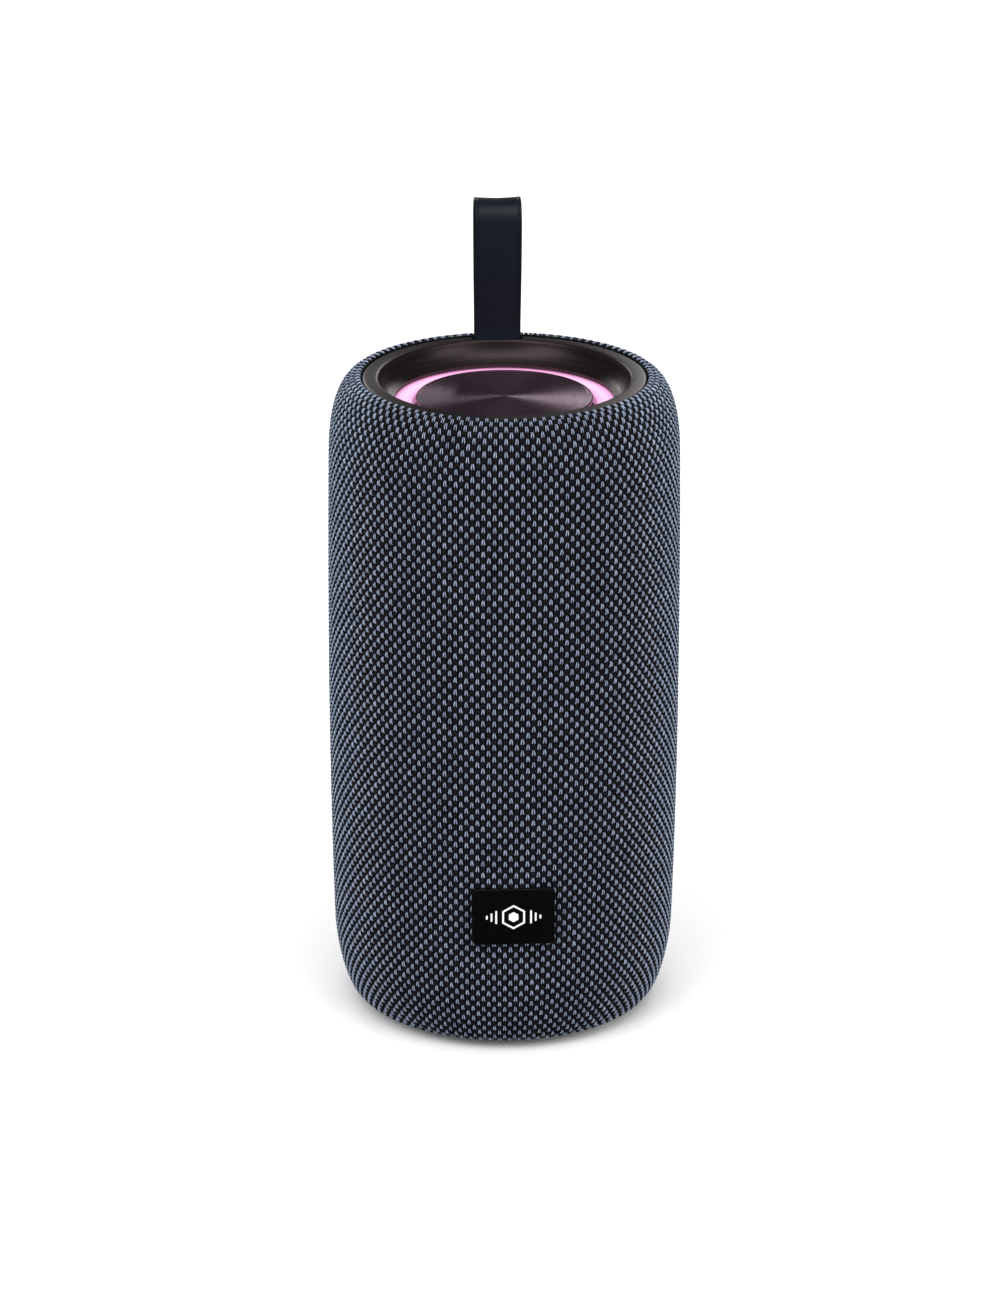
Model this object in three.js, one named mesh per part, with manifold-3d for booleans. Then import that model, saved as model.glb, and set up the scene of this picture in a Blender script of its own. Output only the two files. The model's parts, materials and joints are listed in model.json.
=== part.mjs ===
// A portable wireless speaker: a knitted barrel with a glowing ring, a strap, one driver and two
// passive radiators. Millimetres, +Z up. The origin is the centre of the foot on the table, the
// badge faces -Y and the control panel faces +Y.
import * as THREE from "three";
import { mergeVertices } from "three/addons/utils/BufferGeometryUtils.js";
import Module from "manifold-3d";

const wasm = await Module();
wasm.setup();

// ---------------------------------------------------------------- driving dimensions
const FIT = 0.3; // clearance between neighbouring pieces
const ROUND = 36; // sides of a large turned piece
const MEDIUM = 18; // sides of a turned piece inside the body
const SMALL = 6; // sides of a screw, a hole or a pin
const PAST = 1; // how far a cutting tool runs past the piece it cuts
const RIB_SINK = 0.4; // how far a rib runs into the wall that holds it

// Barrel and sleeve
const BODY_RADIUS = 42;
const SLEEVE_HEIGHT = 155.5;
const FOOT_HEIGHT = 2; // from the table to the sleeve
const SLEEVE_THICKNESS = 1.2;
const SHELL_WALL = 2.2;
const WIDEST_SHARE = 0.48; // height of the widest ring, as a share of the sleeve's
const BARREL_TOP = 0.023; // how much narrower than the widest ring the ends of the barrel are
const BARREL_BOTTOM = 0.032;
const SHOULDER_DROP = 18.4; // height of the rounded shoulder
const SHOULDER_POWER = 2.34; // 2 is an ellipse, more is squarer
const HEEL_RISE = 18; // height of the rounded heel
const HEEL_POWER = 1.75;
const HEEL_INSET = 6.1; // from the widest radius to where the heel turns flat
const HEM_WIDTH = 2; // flat hem under the heel
const HEEL_STEPS = 4;
const SIDE_STEPS = 4;
const SHOULDER_STEPS = 5;
const BOWL_STEPS = 5;

// Top: bezel, light ring and disc
const LIP_RADIUS = 33.4;
const LIP_WIDTH = 4;
const LIP_BELOW_SLEEVE = 0.6;
const LIP_EDGE = 0.5; // softened corners of the lip
const BOWL_DEPTH = 5;
const BOWL_RUN = 3.65; // how far the bowl's wall comes in
const BEZEL_WALL = 1.7;
const SKIRT_DEPTH = 6.9;
const COLLAR_WALL = 1.6;
const RING_WIDTH = 4.15; // the part of the light ring that shows
const RING_THICKNESS = 2;
const RING_RIM = 1.2; // the rim under the ring, which stands on the lamp board
const BOARD_THICKNESS = 1.2;
const LAMP_COUNT = 8;
const LAMP_SIZE = 2;
const LAMP_HEIGHT = 0.6;
const DISC_GAP = 0.8; // between the disc and the light ring
const DISC_THICKNESS = 0.9;
const DISC_ABOVE_RING = 1.4;

// Radiators
const PISTON_INSET = 2.8; // from the light ring's hole to the piston
const PISTON_THICKNESS = 1.6;
const HUB_INSET = 6; // from the piston's edge to its hub
const RADIATOR_OVERSIZE = 0.8; // how much wider the frame's hole is than the light ring's
const RADIATOR_FRAME_THICKNESS = 2;
const RADIATOR_RIM = 1.4;
const RADIATOR_RIM_WIDTH = 2;
const ROLL_HEIGHT = 1.8;
const ROLL_SKIN = 0.8;
const ROLL_LIP = 0.5;

// Base
const BASE_CAP_HEIGHT = 4.5;
const BASE_CAP_GAP = 0.4; // between the base cap and the hem
const FOOT_WIDTH = 4.2;
const FOOT_SEAT = 1; // how far the foot sits into the base cap
const FOOT_MARGIN = 0.5; // between the foot's groove and the screw heads
const BASE_RIM = 1.4; // base cap inside the foot's groove
const LEDGE_THICKNESS = 2.3; // shell ledges that hold the radiators

// Screws
const SCREW_RADIUS = 1;
const SCREW_HEAD_RADIUS = 2;
const SCREW_HEAD = 1.5;
const SCREW_GAP = 0.2; // clearance round a screw, in radius
const SMALL_HEAD_RADIUS = 1.6;
const SCREW_COUNT = 4;
const SCREW_BITE = 7; // depth of a screw's hole in its boss
const BOSS_CAP = 1; // boss past the end of its hole
const CLAMP_BITE = 3;
const HEAD_CROWN = 0.8; // top of a screw's head, as a share of its radius
const CROSS_REACH = 0.6; // arm of the cross recess, as a share of the head's radius
const CROSS_HALF_WIDTH = 0.16; // as a share of the head's radius

// Driver, measured back from the baffle
const DRIVER_RADIUS = 25;
const DRIVER_MARGIN = 1.7; // from the flange's edge to the screws' circle
const DRIVER_FLANGE = 2;
const FLANGE_WIDTH = 3.4; // from the baffle's mouth to the flange's edge
const BASKET_DEPTH = 12;
const BASKET_WALL = 1.2;
const BASKET_FLOOR = 1.5;
const MAGNET_RADIUS = 13.5;
const MAGNET_THICKNESS = 5;
const POLE_THICKNESS = 2.5; // of the top plate
const YOKE_THICKNESS = 2.1;
const COIL_RADIUS = 6.3;
const COIL_WALL = 0.7;
const MOUTH_LIP = 1; // basket's flange inside the mouth
const BASKET_MARGIN = 1; // basket past the magnet
const BASKET_OPENING = 3; // round the coil
const PLATE_INSET = 1; // from the magnet's edge to its plates'
const SPIDER_WAVES = 2;
const SPIDER_RISE = 0.45;
const SPIDER_SKIN = 0.2; // half its thickness
const CONE_DEPTH = 7.3;
const CONE_SKIN = 0.6;
const CONE_MARGIN = 4.3; // from the flange's inner edge to the cone's rim
const GASKET_THICKNESS = 0.8;
const DRIVER_SIDE_GAP = 1.28; // between the flange's edge and the shell's inner wall
const BAFFLE_THICKNESS = 2.2;
const CHAMBER_MARGIN = 2; // sound chamber above and below the driver
const DRIVER_BELOW_LEDGE = 18.8; // from the top ledge to the sound chamber
const GRILLE_HOLE = 3.1;
const GRILLE_PITCH = 8.6;
const GRILLE_RINGS = 2;

// Badge
const BADGE_WIDTH = 19.5;
const BADGE_HEIGHT = 14.2;
const BADGE_CORNER = 1.3;
const BADGE_THICKNESS = 1.3;
const BADGE_PROUD = 0.35; // in front of the widest ring
const BADGE_RISE = 35.3; // from the sleeve's lower edge to the badge's middle
const BADGE_PIN_RADIUS = 1;
const BADGE_PIN_INSET = 3.75;

// Control panel
const PANEL_WIDTH = 20;
const PANEL_HEIGHT = 84;
const PANEL_CORNER = 5;
const PANEL_SUNK = 0.8; // from the widest radius in to the panel's face
const PANEL_THICKNESS = 2.5;
const SEAT_WIDTH = 2; // shell ledge behind the panel
const SEAT_THICKNESS = 2.4;
const BUTTON_WIDTH = 11;
const BUTTON_HEIGHT = 6.6;
const BUTTON_CORNER = 3.2;
const BUTTON_PITCH = 9.6;
const BUTTON_TOP_GAP = 6.4; // from the panel's top to the first button's middle
const BUTTON_PROUD = 0.5;
const BUTTON_FLANGE = 1; // thickness of the flange behind the panel
const BUTTON_FLANGE_REACH = 1; // flange past the cap, each side
const BUTTON_FLANGE_RISE = 0.8; // flange past the cap, above and below
const BUTTON_TRAVEL = 0.6;
const BUTTON_STEM = 2.4;
const BUTTONS = ["power_button", "volume_up_button", "play_button", "volume_down_button", "light_button"];
const SWITCH_SIZE = 4;
const SWITCH_HEIGHT = 2;

// Ports and their flap
const FLAP_WIDTH = 14.4;
const FLAP_HEIGHT = 25.4;
const FLAP_THICKNESS = 1.4;
const PORTS_RISE = 15; // from the panel's lower end to the middle port
const PORT_PITCH = 7.4;
const PORT_DEPTH = 8;
const MAIN_BOARD_WIDTH = 36;
const MAIN_BOARD_HEIGHT = 40;
const MAIN_BOARD_THICKNESS = 1.6;
const SOCKET_WALL = 0.6;
const USB_WIDTH = 9.2;
const USB_HEIGHT = 3.4;
const USB_CORNER = 1.6;
const CARD_WIDTH = 13;
const CARD_HEIGHT = 2.6;
const CARD_CORNER = 0.4;
const JACK_WIDTH = 7;
const JACK_HEIGHT = 6.4;
const JACK_BORE = 1.8; // radius
// Each chip: left edge, width, lower edge above the middle port, height and thickness.
const CHIPS = [
  [-12, 7, -4, 7, 1.4],
  [2, 10, -8, 10, 1.8],
  [-14, 7, 8, 7, 3],
];

// Strap
const STRAP_WIDTH = 11.2;
const STRAP_SKIN = 1.1; // thickness of one strand
const STRAP_BULGE = 5.4; // half the thickness of the loop at its widest
const STRAP_RISE = 35; // from the lip to the top of the loop
const STRAP_INSET = 2.4; // from the lip's edge in to the strap's middle
const STRAP_AXIS_RISE = 1.7; // hinge axis above the lip
const STRAP_GAP_RISE = 5; // from the axis to where the strands part
const STRAP_SPREAD = 0.25; // shares of the height where the strands leave each other and where
const STRAP_WIDEN = 0.45; // they have opened out
const STRAP_FOOT = 1.5; // how far the strap's foot is wider than the strap, each side
const STRAP_GUARD = 1; // bezel boss past the clamp
const CLAMP_THICKNESS = 1.7;
const CLAMP_DROP = 4; // from the skirt's lower edge to the clamp's underside

// Battery
const CELL_RADIUS = 9.1;
const CELL_LENGTH = 65;
const CELL_RISE = 37; // from the sleeve's lower edge to the cell's axis
const CELL_SIDES = 24;
const CELL_CAP = 1.5; // the raised terminal
const CRADLE_WALL = 2;
const LEAD_RADIUS = 0.8;
const BATTERY_LEAD_X = [22, 16, 12, 8]; // route from the cell to the main board
const BATTERY_LEAD_RISE = 2; // at each step of the route
const BATTERY_LEAD_END = 10; // above the middle port
const DRIVER_LEAD_GAP = 4; // between the lead and the magnet
const DRIVER_LEAD_SLACK = 2;
const DRIVER_LEAD_END_X = 14;

// ---------------------------------------------------------------- derived sizes and heights
const SLEEVE_TOP = FOOT_HEIGHT + SLEEVE_HEIGHT;
const SIDE_MIDDLE = FOOT_HEIGHT + (HEEL_RISE + SLEEVE_HEIGHT - SHOULDER_DROP) / 2;
const SHELL_INSET = SLEEVE_THICKNESS + FIT;
const HEEL_FLAT = BODY_RADIUS - HEEL_INSET;
const HEM_RADIUS = HEEL_FLAT - HEM_WIDTH;

const LIP_TOP = SLEEVE_TOP - LIP_BELOW_SLEEVE;
const LIP_INNER = LIP_RADIUS - LIP_WIDTH;
const BOWL_FLOOR = LIP_TOP - BOWL_DEPTH;
const BOWL_FLOOR_RADIUS = LIP_INNER - BOWL_RUN;
const BEZEL_LEDGE = BOWL_FLOOR - BEZEL_WALL / 2; // underside that holds the light ring
const SKIRT_BOTTOM = LIP_TOP - SKIRT_DEPTH;
const RING_HOLE = BOWL_FLOOR_RADIUS - RING_WIDTH;
const RING_RADIUS = BOWL_FLOOR_RADIUS + BEZEL_WALL + RING_RIM / 2;
const RING_TOP = BEZEL_LEDGE - FIT;
const RING_BOTTOM = RING_TOP - RING_THICKNESS;
const BOARD_TOP = RING_BOTTOM - RING_RIM - FIT;
const BOARD_BOTTOM = BOARD_TOP - BOARD_THICKNESS;
const COLLAR_INNER = RING_RADIUS + FIT;
const COLLAR_OUTER = COLLAR_INNER + COLLAR_WALL;
const DISC_RADIUS = RING_HOLE - DISC_GAP;
const DISC_TOP = RING_TOP + DISC_ABOVE_RING;

const PISTON_RADIUS = DISC_RADIUS - PISTON_INSET;
const RADIATOR_HOLE = RING_HOLE + RADIATOR_OVERSIZE;
const SCREW_CIRCLE = COLLAR_INNER + SCREW_HEAD_RADIUS + FIT;
const RADIATOR_FRAME_RADIUS = SCREW_CIRCLE + SCREW_HEAD_RADIUS + FIT;
const LEDGE_OPENING = RING_RADIUS + FIT;
const TOP_FRAME_TOP = BOARD_BOTTOM - FIT - RADIATOR_RIM;
const TOP_FRAME_BOTTOM = TOP_FRAME_TOP - RADIATOR_FRAME_THICKNESS;
const TOP_LEDGE = TOP_FRAME_BOTTOM - FIT;
const COLLAR_BOTTOM = TOP_FRAME_TOP + FIT;

const BASE_CAP_RADIUS = HEM_RADIUS - BASE_CAP_GAP;
const BASE_CAP_TOP = FOOT_HEIGHT + BASE_CAP_HEIGHT;
const FOOT_OUTER = SCREW_CIRCLE - SCREW_HEAD_RADIUS - 2 * FIT - FOOT_MARGIN;
const FOOT_INNER = FOOT_OUTER - FOOT_WIDTH;
const BASE_OPENING = FOOT_INNER - FIT - BASE_RIM;
const BOTTOM_LEDGE = BASE_CAP_TOP + FIT;
const BOTTOM_FRAME_BOTTOM = BOTTOM_LEDGE + LEDGE_THICKNESS + FIT;
const BOTTOM_FRAME_TOP = BOTTOM_FRAME_BOTTOM + RADIATOR_FRAME_THICKNESS;

const DRIVER_MOUTH = DRIVER_RADIUS - FLANGE_WIDTH;
const DRIVER_SCREW_CIRCLE = DRIVER_RADIUS - DRIVER_MARGIN;
const CHAMBER_HALF = DRIVER_RADIUS + CHAMBER_MARGIN; // half the height of the sound chamber
const BAFFLE_Y = Math.sqrt(
  (BODY_RADIUS - SHELL_INSET - SHELL_WALL - DRIVER_SIDE_GAP) ** 2 - DRIVER_RADIUS ** 2,
);
const DRIVER_HEIGHT = TOP_LEDGE - DRIVER_BELOW_LEDGE - BAFFLE_THICKNESS - CHAMBER_HALF;

const BADGE_Z = FOOT_HEIGHT + BADGE_RISE;
const BADGE_FACE = BODY_RADIUS + BADGE_PROUD;
const BADGE_BACK = BADGE_FACE - BADGE_THICKNESS;

const PANEL_Z = SIDE_MIDDLE;
const PANEL_Y = BODY_RADIUS - PANEL_SUNK;
const PANEL_BACK = PANEL_Y - PANEL_THICKNESS;
const SEAT_Y = PANEL_BACK - FIT;
const BUTTON_TOP_Z = PANEL_Z + PANEL_HEIGHT / 2 - BUTTON_TOP_GAP;
const PORTS_Z = PANEL_Z - PANEL_HEIGHT / 2 + PORTS_RISE;
const FLAP_AXIS_X = (FLAP_THICKNESS - FLAP_WIDTH) / 2;
const FLAP_AXIS_Y = PANEL_Y - FLAP_THICKNESS / 2;
const MAIN_BOARD_Y = SEAT_Y - PORT_DEPTH - FIT - MAIN_BOARD_THICKNESS / 2; // its middle plane

const STRAP_Y = LIP_RADIUS - STRAP_INSET;
const STRAP_AXIS = LIP_TOP + STRAP_AXIS_RISE;
const STRAP_FOOT_HALF = STRAP_WIDTH / 2 + STRAP_FOOT;
const CLAMP_BOTTOM = SKIRT_BOTTOM - CLAMP_DROP;
const CLAMP_SCREW_X = STRAP_FOOT_HALF + SMALL_HEAD_RADIUS + FIT;
const CLAMP_SCREW_Y = STRAP_Y - SMALL_HEAD_RADIUS + STRAP_SKIN;
const CLAMP_HALF = CLAMP_SCREW_X + SMALL_HEAD_RADIUS;

const CELL_Z = FOOT_HEIGHT + CELL_RISE;
const CRADLE_BOTTOM = CELL_Z - CELL_RADIUS - FIT - CRADLE_WALL;

// ---------------------------------------------------------------- materials
const material = (color, roughness, metalness = 0) =>
  new THREE.MeshStandardMaterial({ color, roughness, metalness });
const knit = () => material("#4b566b", 0.95);
const shellPlastic = () => material("#26282c", 0.6);
const bezelLacquer = () => material("#4a4446", 0.35, 0.3);
const diffuser = () => material("#f2a6d6", 0.4);
const brushedPlate = () => material("#3a2c38", 0.3, 0.9);
const rubber = () => material("#1a1b1e", 0.85);
const steel = () => material("#a8abb0", 0.35, 1);
const paper = () => material("#2b2a28", 0.9);
const board = () => material("#1e4a38", 0.6);
const strapSkin = () => material("#141b26", 0.55);
const glossBlack = () => material("#101012", 0.25);
const silicone = () => material("#232529", 0.7);
const ferrite = () => material("#3b3b3d", 0.7, 0.1);
const cellWrap = () => material("#2f6db0", 0.4);
const copperCoil = () => material("#b3703c", 0.4, 0.8);
const wireSkin = () => material("#a32a2a", 0.5);

// ---------------------------------------------------------------- solids
function solid(geometry) {
  const bare = geometry.index ? geometry.toNonIndexed() : geometry.clone();
  bare.deleteAttribute("normal");
  bare.deleteAttribute("uv");
  const merged = mergeVertices(bare, 1e-4);
  return new wasm.Manifold(
    new wasm.Mesh({
      numProp: 3,
      vertProperties: new Float32Array(merged.attributes.position.array),
      triVerts: new Uint32Array(merged.index.array),
    }),
  );
}

function geometryOf(body) {
  const mesh = body.getMesh();
  const geometry = new THREE.BufferGeometry();
  geometry.setAttribute("position", new THREE.BufferAttribute(mesh.vertProperties, mesh.numProp));
  geometry.setIndex(new THREE.BufferAttribute(mesh.triVerts, 1));
  const flat = geometry.toNonIndexed();
  flat.computeVertexNormals();
  return flat;
}

function cut(base, tools) {
  return geometryOf(tools.reduce((body, tool) => body.subtract(solid(tool)), solid(base)));
}

function join(base, others) {
  return geometryOf(others.reduce((body, other) => body.add(solid(other)), solid(base)));
}

function overlap(base, other) {
  return geometryOf(solid(base).intersect(solid(other)));
}

function part(name, geometry, finish) {
  const mesh = new THREE.Mesh(geometry, finish);
  mesh.name = name;
  return mesh;
}

// A turned piece about Z from its half section, [radius, height] points in order round the section.
function turned(section, sides = ROUND) {
  const area = section.reduce((sum, [r, z], i) => {
    const [r2, z2] = section[(i + 1) % section.length];
    return sum + r * z2 - r2 * z;
  }, 0);
  const ordered = area > 0 ? section : [...section].reverse();
  const start = Math.max(0, ordered.findIndex(([r], i) => r === 0 && ordered.at(i - 1)[0] === 0));
  const points = [...ordered.slice(start), ...ordered.slice(0, start)];
  if (points[0][0] > 0) points.push(points[0]);
  const outline = points.map(([r, z]) => new THREE.Vector2(r, z));
  return new THREE.LatheGeometry(outline, sides).rotateX(Math.PI / 2);
}

// A ring with a rectangular section; an inner radius of 0 makes a disc.
function ring(inner, outer, bottom, top, sides = ROUND) {
  return turned([[inner, bottom], [outer, bottom], [outer, top], [inner, top]], sides);
}

function rod(radius, bottom, top, x = 0, y = 0, sides = SMALL) {
  return ring(0, radius, bottom, top, sides).translate(x, y, 0);
}

function box(x0, x1, y0, y1, z0, z1) {
  const geometry = new THREE.BoxGeometry(x1 - x0, y1 - y0, z1 - z0);
  return geometry.translate((x0 + x1) / 2, (y0 + y1) / 2, (z0 + z1) / 2);
}

function roundedShape(width, height, corner, x = 0, y = 0) {
  const [w, h] = [width / 2, height / 2];
  const shape = new THREE.Shape();
  shape.moveTo(x - w + corner, y - h);
  shape.lineTo(x + w - corner, y - h);
  shape.absarc(x + w - corner, y - h + corner, corner, -Math.PI / 2, 0);
  shape.lineTo(x + w, y + h - corner);
  shape.absarc(x + w - corner, y + h - corner, corner, 0, Math.PI / 2);
  shape.lineTo(x - w + corner, y + h);
  shape.absarc(x - w + corner, y + h - corner, corner, Math.PI / 2, Math.PI);
  shape.lineTo(x - w, y - h + corner);
  shape.absarc(x - w + corner, y - h + corner, corner, Math.PI, Math.PI * 1.5);
  return shape;
}

const extruded = (shape, depth, curveSegments = 2) =>
  new THREE.ExtrudeGeometry(shape, { depth, bevelEnabled: false, curveSegments });

// A shape drawn in X and Z, solid from y0 to y1.
const slabY = (shape, y0, y1) => extruded(shape, y1 - y0).rotateX(Math.PI / 2).translate(0, y1, 0);

// A shape drawn in Y and Z, solid over a width centred on X.
function slabX(shape, width, curveSegments) {
  const turn = new THREE.Matrix4().makeBasis(
    new THREE.Vector3(0, 1, 0),
    new THREE.Vector3(0, 0, 1),
    new THREE.Vector3(1, 0, 0),
  );
  return extruded(shape, width, curveSegments).applyMatrix4(turn).translate(-width / 2, 0, 0);
}

const roundedSlab = (width, height, corner, z, y0, y1) =>
  slabY(roundedShape(width, height, corner, 0, z), y0, y1);

// The places of count pieces on a circle, turned half a step from +X.
const onCircle = (radius, count) =>
  Array.from({ length: count }, (_, i) => {
    const angle = ((i + 0.5) * 2 * Math.PI) / count;
    return [radius * Math.cos(angle), radius * Math.sin(angle)];
  });

const screwPlaces = onCircle(SCREW_CIRCLE, SCREW_COUNT);
const driverScrewPlaces = onCircle(DRIVER_SCREW_CIRCLE, SCREW_COUNT);

// A tube through points; its section has six sides.
function tube(points, radius) {
  const path = new THREE.CatmullRomCurve3(points.map((p) => new THREE.Vector3(...p)));
  const section = new THREE.Shape();
  section.absarc(0, 0, radius, 0, 2 * Math.PI);
  const steps = points.length * 3;
  return new THREE.ExtrudeGeometry(section, { steps, extrudePath: path, curveSegments: 3 });
}

// ---------------------------------------------------------------- barrel outline
// Radius of the sleeve's slightly barrelled side at a height above the sleeve's lower edge.
function sideRadius(height) {
  const share = height / SLEEVE_HEIGHT - WIDEST_SHARE;
  const [drop, reach] = share > 0 ? [BARREL_TOP, 1 - WIDEST_SHARE] : [BARREL_BOTTOM, WIDEST_SHARE];
  return BODY_RADIUS * (1 - drop * (share / reach) ** 2);
}

// The sleeve's half section moved inwards, from the heel's flat edge up to the lip.
function barrelOutline(inset) {
  const heel = Array.from({ length: HEEL_STEPS + 1 }, (_, i) => {
    const t = (i / HEEL_STEPS) * (Math.PI / 2);
    const height = inset + (HEEL_RISE - inset) * (1 - Math.cos(t) ** (2 / HEEL_POWER));
    const reach = sideRadius(height) - inset - HEEL_FLAT;
    return [HEEL_FLAT + reach * Math.sin(t) ** (2 / HEEL_POWER), FOOT_HEIGHT + height];
  });
  const side = Array.from({ length: SIDE_STEPS - 1 }, (_, i) => {
    const share = (i + 1) / SIDE_STEPS;
    const height = HEEL_RISE + share * (SLEEVE_HEIGHT - SHOULDER_DROP - HEEL_RISE);
    return [sideRadius(height) - inset, FOOT_HEIGHT + height];
  });
  const shoulder = Array.from({ length: SHOULDER_STEPS + 1 }, (_, i) => {
    const t = (1 - i / SHOULDER_STEPS) * (Math.PI / 2);
    const drop = inset + (SHOULDER_DROP - inset) * (1 - Math.cos(t) ** (2 / SHOULDER_POWER));
    const height = SLEEVE_HEIGHT - drop;
    const flat = LIP_RADIUS + FIT;
    const reach = sideRadius(height) - inset - flat;
    return [flat + reach * Math.sin(t) ** (2 / SHOULDER_POWER), FOOT_HEIGHT + height];
  });
  return [...heel, ...side, ...shoulder];
}

const shellOuter = barrelOutline(SHELL_INSET);
const shellInner = barrelOutline(SHELL_INSET + SHELL_WALL);

// Everything inside the shell's inner wall, for trimming ribs and plates to it.
function cavity(reach = RIB_SINK) {
  const wall = barrelOutline(SHELL_INSET + SHELL_WALL - reach);
  return turned([[0, wall[0][1]], ...wall, [0, wall.at(-1)[1]]]);
}

// ---------------------------------------------------------------- sleeve and badge
const badgeSeat = (clearance) =>
  roundedSlab(
    BADGE_WIDTH + 2 * clearance,
    BADGE_HEIGHT + 2 * clearance,
    BADGE_CORNER + clearance,
    BADGE_Z,
    -BODY_RADIUS - BADGE_THICKNESS,
    -BADGE_BACK + clearance,
  );

function badgePins(clearance) {
  const reach = BADGE_THICKNESS + SLEEVE_THICKNESS + SHELL_WALL;
  return [-1, 1].map((side) =>
    rod(BADGE_PIN_RADIUS + clearance, 0, reach)
      .rotateX(Math.PI / 2)
      .translate(
        side * (BADGE_WIDTH / 2 - BADGE_PIN_INSET),
        -BADGE_BACK + reach - SLEEVE_THICKNESS,
        BADGE_Z,
      ),
  );
}

function sleeve() {
  const inner = barrelOutline(SLEEVE_THICKNESS);
  const hem = [[HEM_RADIUS, FOOT_HEIGHT + SLEEVE_THICKNESS], [HEM_RADIUS, FOOT_HEIGHT]];
  const tubeShape = turned([...hem, ...barrelOutline(0), ...inner.reverse()]);
  const panelHole = roundedSlab(
    PANEL_WIDTH + 2 * FIT,
    PANEL_HEIGHT + 2 * FIT,
    PANEL_CORNER + FIT,
    PANEL_Z,
    BODY_RADIUS / 2,
    BODY_RADIUS + PAST,
  );
  return part("fabric_sleeve", cut(tubeShape, [panelHole, badgeSeat(FIT), ...badgePins(FIT)]), knit());
}

function badge() {
  const plate = roundedSlab(
    BADGE_WIDTH,
    BADGE_HEIGHT,
    BADGE_CORNER,
    BADGE_Z,
    -BADGE_FACE,
    -BADGE_BACK,
  );
  return part("badge_plate", join(plate, badgePins(0)), glossBlack());
}

// ---------------------------------------------------------------- shells
// The whole shell: a barrel wall with a recess for the base cap and a ledge for each radiator.
function wholeShell() {
  const topOpen = LIP_RADIUS + FIT;
  const baseOpen = BASE_CAP_RADIUS + FIT;
  const ledgeTop = BOTTOM_LEDGE + LEDGE_THICKNESS;
  const inner = shellInner.filter(([, z]) => z > ledgeTop + PAST);
  const wallAt = (height) => {
    const above = inner.findIndex(([, z]) => z > height);
    const [[r0, z0], [r1, z1]] = [inner[Math.max(above - 1, 0)], inner[Math.max(above, 1)]];
    return r0 + ((height - z0) / (z1 - z0)) * (r1 - r0);
  };
  const below = inner.filter(([, z]) => z < TOP_LEDGE - LEDGE_THICKNESS - PAST / 2);
  const above = inner.filter(([, z]) => z > TOP_LEDGE + PAST / 2);
  const body = turned([
    [baseOpen, shellOuter[0][1]],
    ...shellOuter,
    ...above.reverse(),
    [wallAt(TOP_LEDGE), TOP_LEDGE],
    [LEDGE_OPENING, TOP_LEDGE],
    [LEDGE_OPENING, TOP_LEDGE - LEDGE_THICKNESS],
    [wallAt(TOP_LEDGE - LEDGE_THICKNESS), TOP_LEDGE - LEDGE_THICKNESS],
    ...below.reverse(),
    [below.at(-1)[0], ledgeTop],
    [LEDGE_OPENING, ledgeTop],
    [LEDGE_OPENING, BOTTOM_LEDGE],
    [baseOpen, BOTTOM_LEDGE],
  ]);
  const holes = screwPlaces.flatMap(([x, y]) => [
    rod(SCREW_RADIUS + SCREW_GAP, FOOT_HEIGHT, ledgeTop + PAST, x, y),
    rod(SCREW_RADIUS + SCREW_GAP, TOP_LEDGE - LEDGE_THICKNESS - PAST, TOP_LEDGE + PAST, x, y),
  ]);
  return cut(body, [rod(topOpen, SKIRT_BOTTOM, SLEEVE_TOP, 0, 0, ROUND), ...holes]);
}

// Keeps the half on one side of the joint plane; side is -1 for the front, 1 for the rear.
function halfOf(geometry, side) {
  const [near, far] = [FIT / 2, BODY_RADIUS + PAST];
  const [y0, y1] = side > 0 ? [near, far] : [-far, -near];
  return overlap(geometry, box(-far, far, y0, y1, 0, SLEEVE_TOP + PAST));
}

// Holes on rings of six, twelve and so on, around one in the middle.
function grilleHoles() {
  const places = [[0, 0]];
  for (let ringIndex = 1; ringIndex <= GRILLE_RINGS; ringIndex++) {
    const count = 6 * ringIndex;
    for (const [x, z] of onCircle(GRILLE_PITCH * ringIndex, count)) places.push([x, z]);
  }
  return places.map(([x, z]) =>
    ring(0, GRILLE_HOLE, 0, BODY_RADIUS, 6)
      .rotateX(Math.PI / 2)
      .translate(x, -BAFFLE_Y - BAFFLE_THICKNESS, DRIVER_HEIGHT + z),
  );
}

function frontShell(shell) {
  const chamberTop = DRIVER_HEIGHT + CHAMBER_HALF;
  const chamberBottom = DRIVER_HEIGHT - CHAMBER_HALF;
  const bulk = box(
    -BODY_RADIUS,
    BODY_RADIUS,
    -BODY_RADIUS,
    -BAFFLE_Y,
    chamberBottom - BAFFLE_THICKNESS,
    chamberTop + BAFFLE_THICKNESS,
  );
  const chamber = box(
    -BODY_RADIUS,
    BODY_RADIUS,
    -BODY_RADIUS,
    -BAFFLE_Y - BAFFLE_THICKNESS,
    chamberBottom,
    chamberTop,
  );
  const baffle = cut(overlap(cavity(), bulk), [overlap(cavity(0), chamber)]);
  const mouth = rod(DRIVER_MOUTH, 0, BAFFLE_THICKNESS + 2 * PAST, 0, 0, ROUND)
    .rotateX(Math.PI / 2)
    .translate(0, PAST - BAFFLE_Y, DRIVER_HEIGHT);
  const screwHoles = driverScrewPlaces.map(([x, z]) =>
    rod(SCREW_RADIUS + SCREW_GAP, 0, BAFFLE_THICKNESS + 2 * PAST)
      .rotateX(Math.PI / 2)
      .translate(x, PAST - BAFFLE_Y, DRIVER_HEIGHT + z),
  );
  const pierced = cut(join(halfOf(shell, -1), [baffle]), [
    mouth,
    ...screwHoles,
    ...grilleHoles(),
    ...badgePins(FIT),
    badgeSeat(FIT),
  ]);
  return part("front_shell", pierced, shellPlastic());
}

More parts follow.
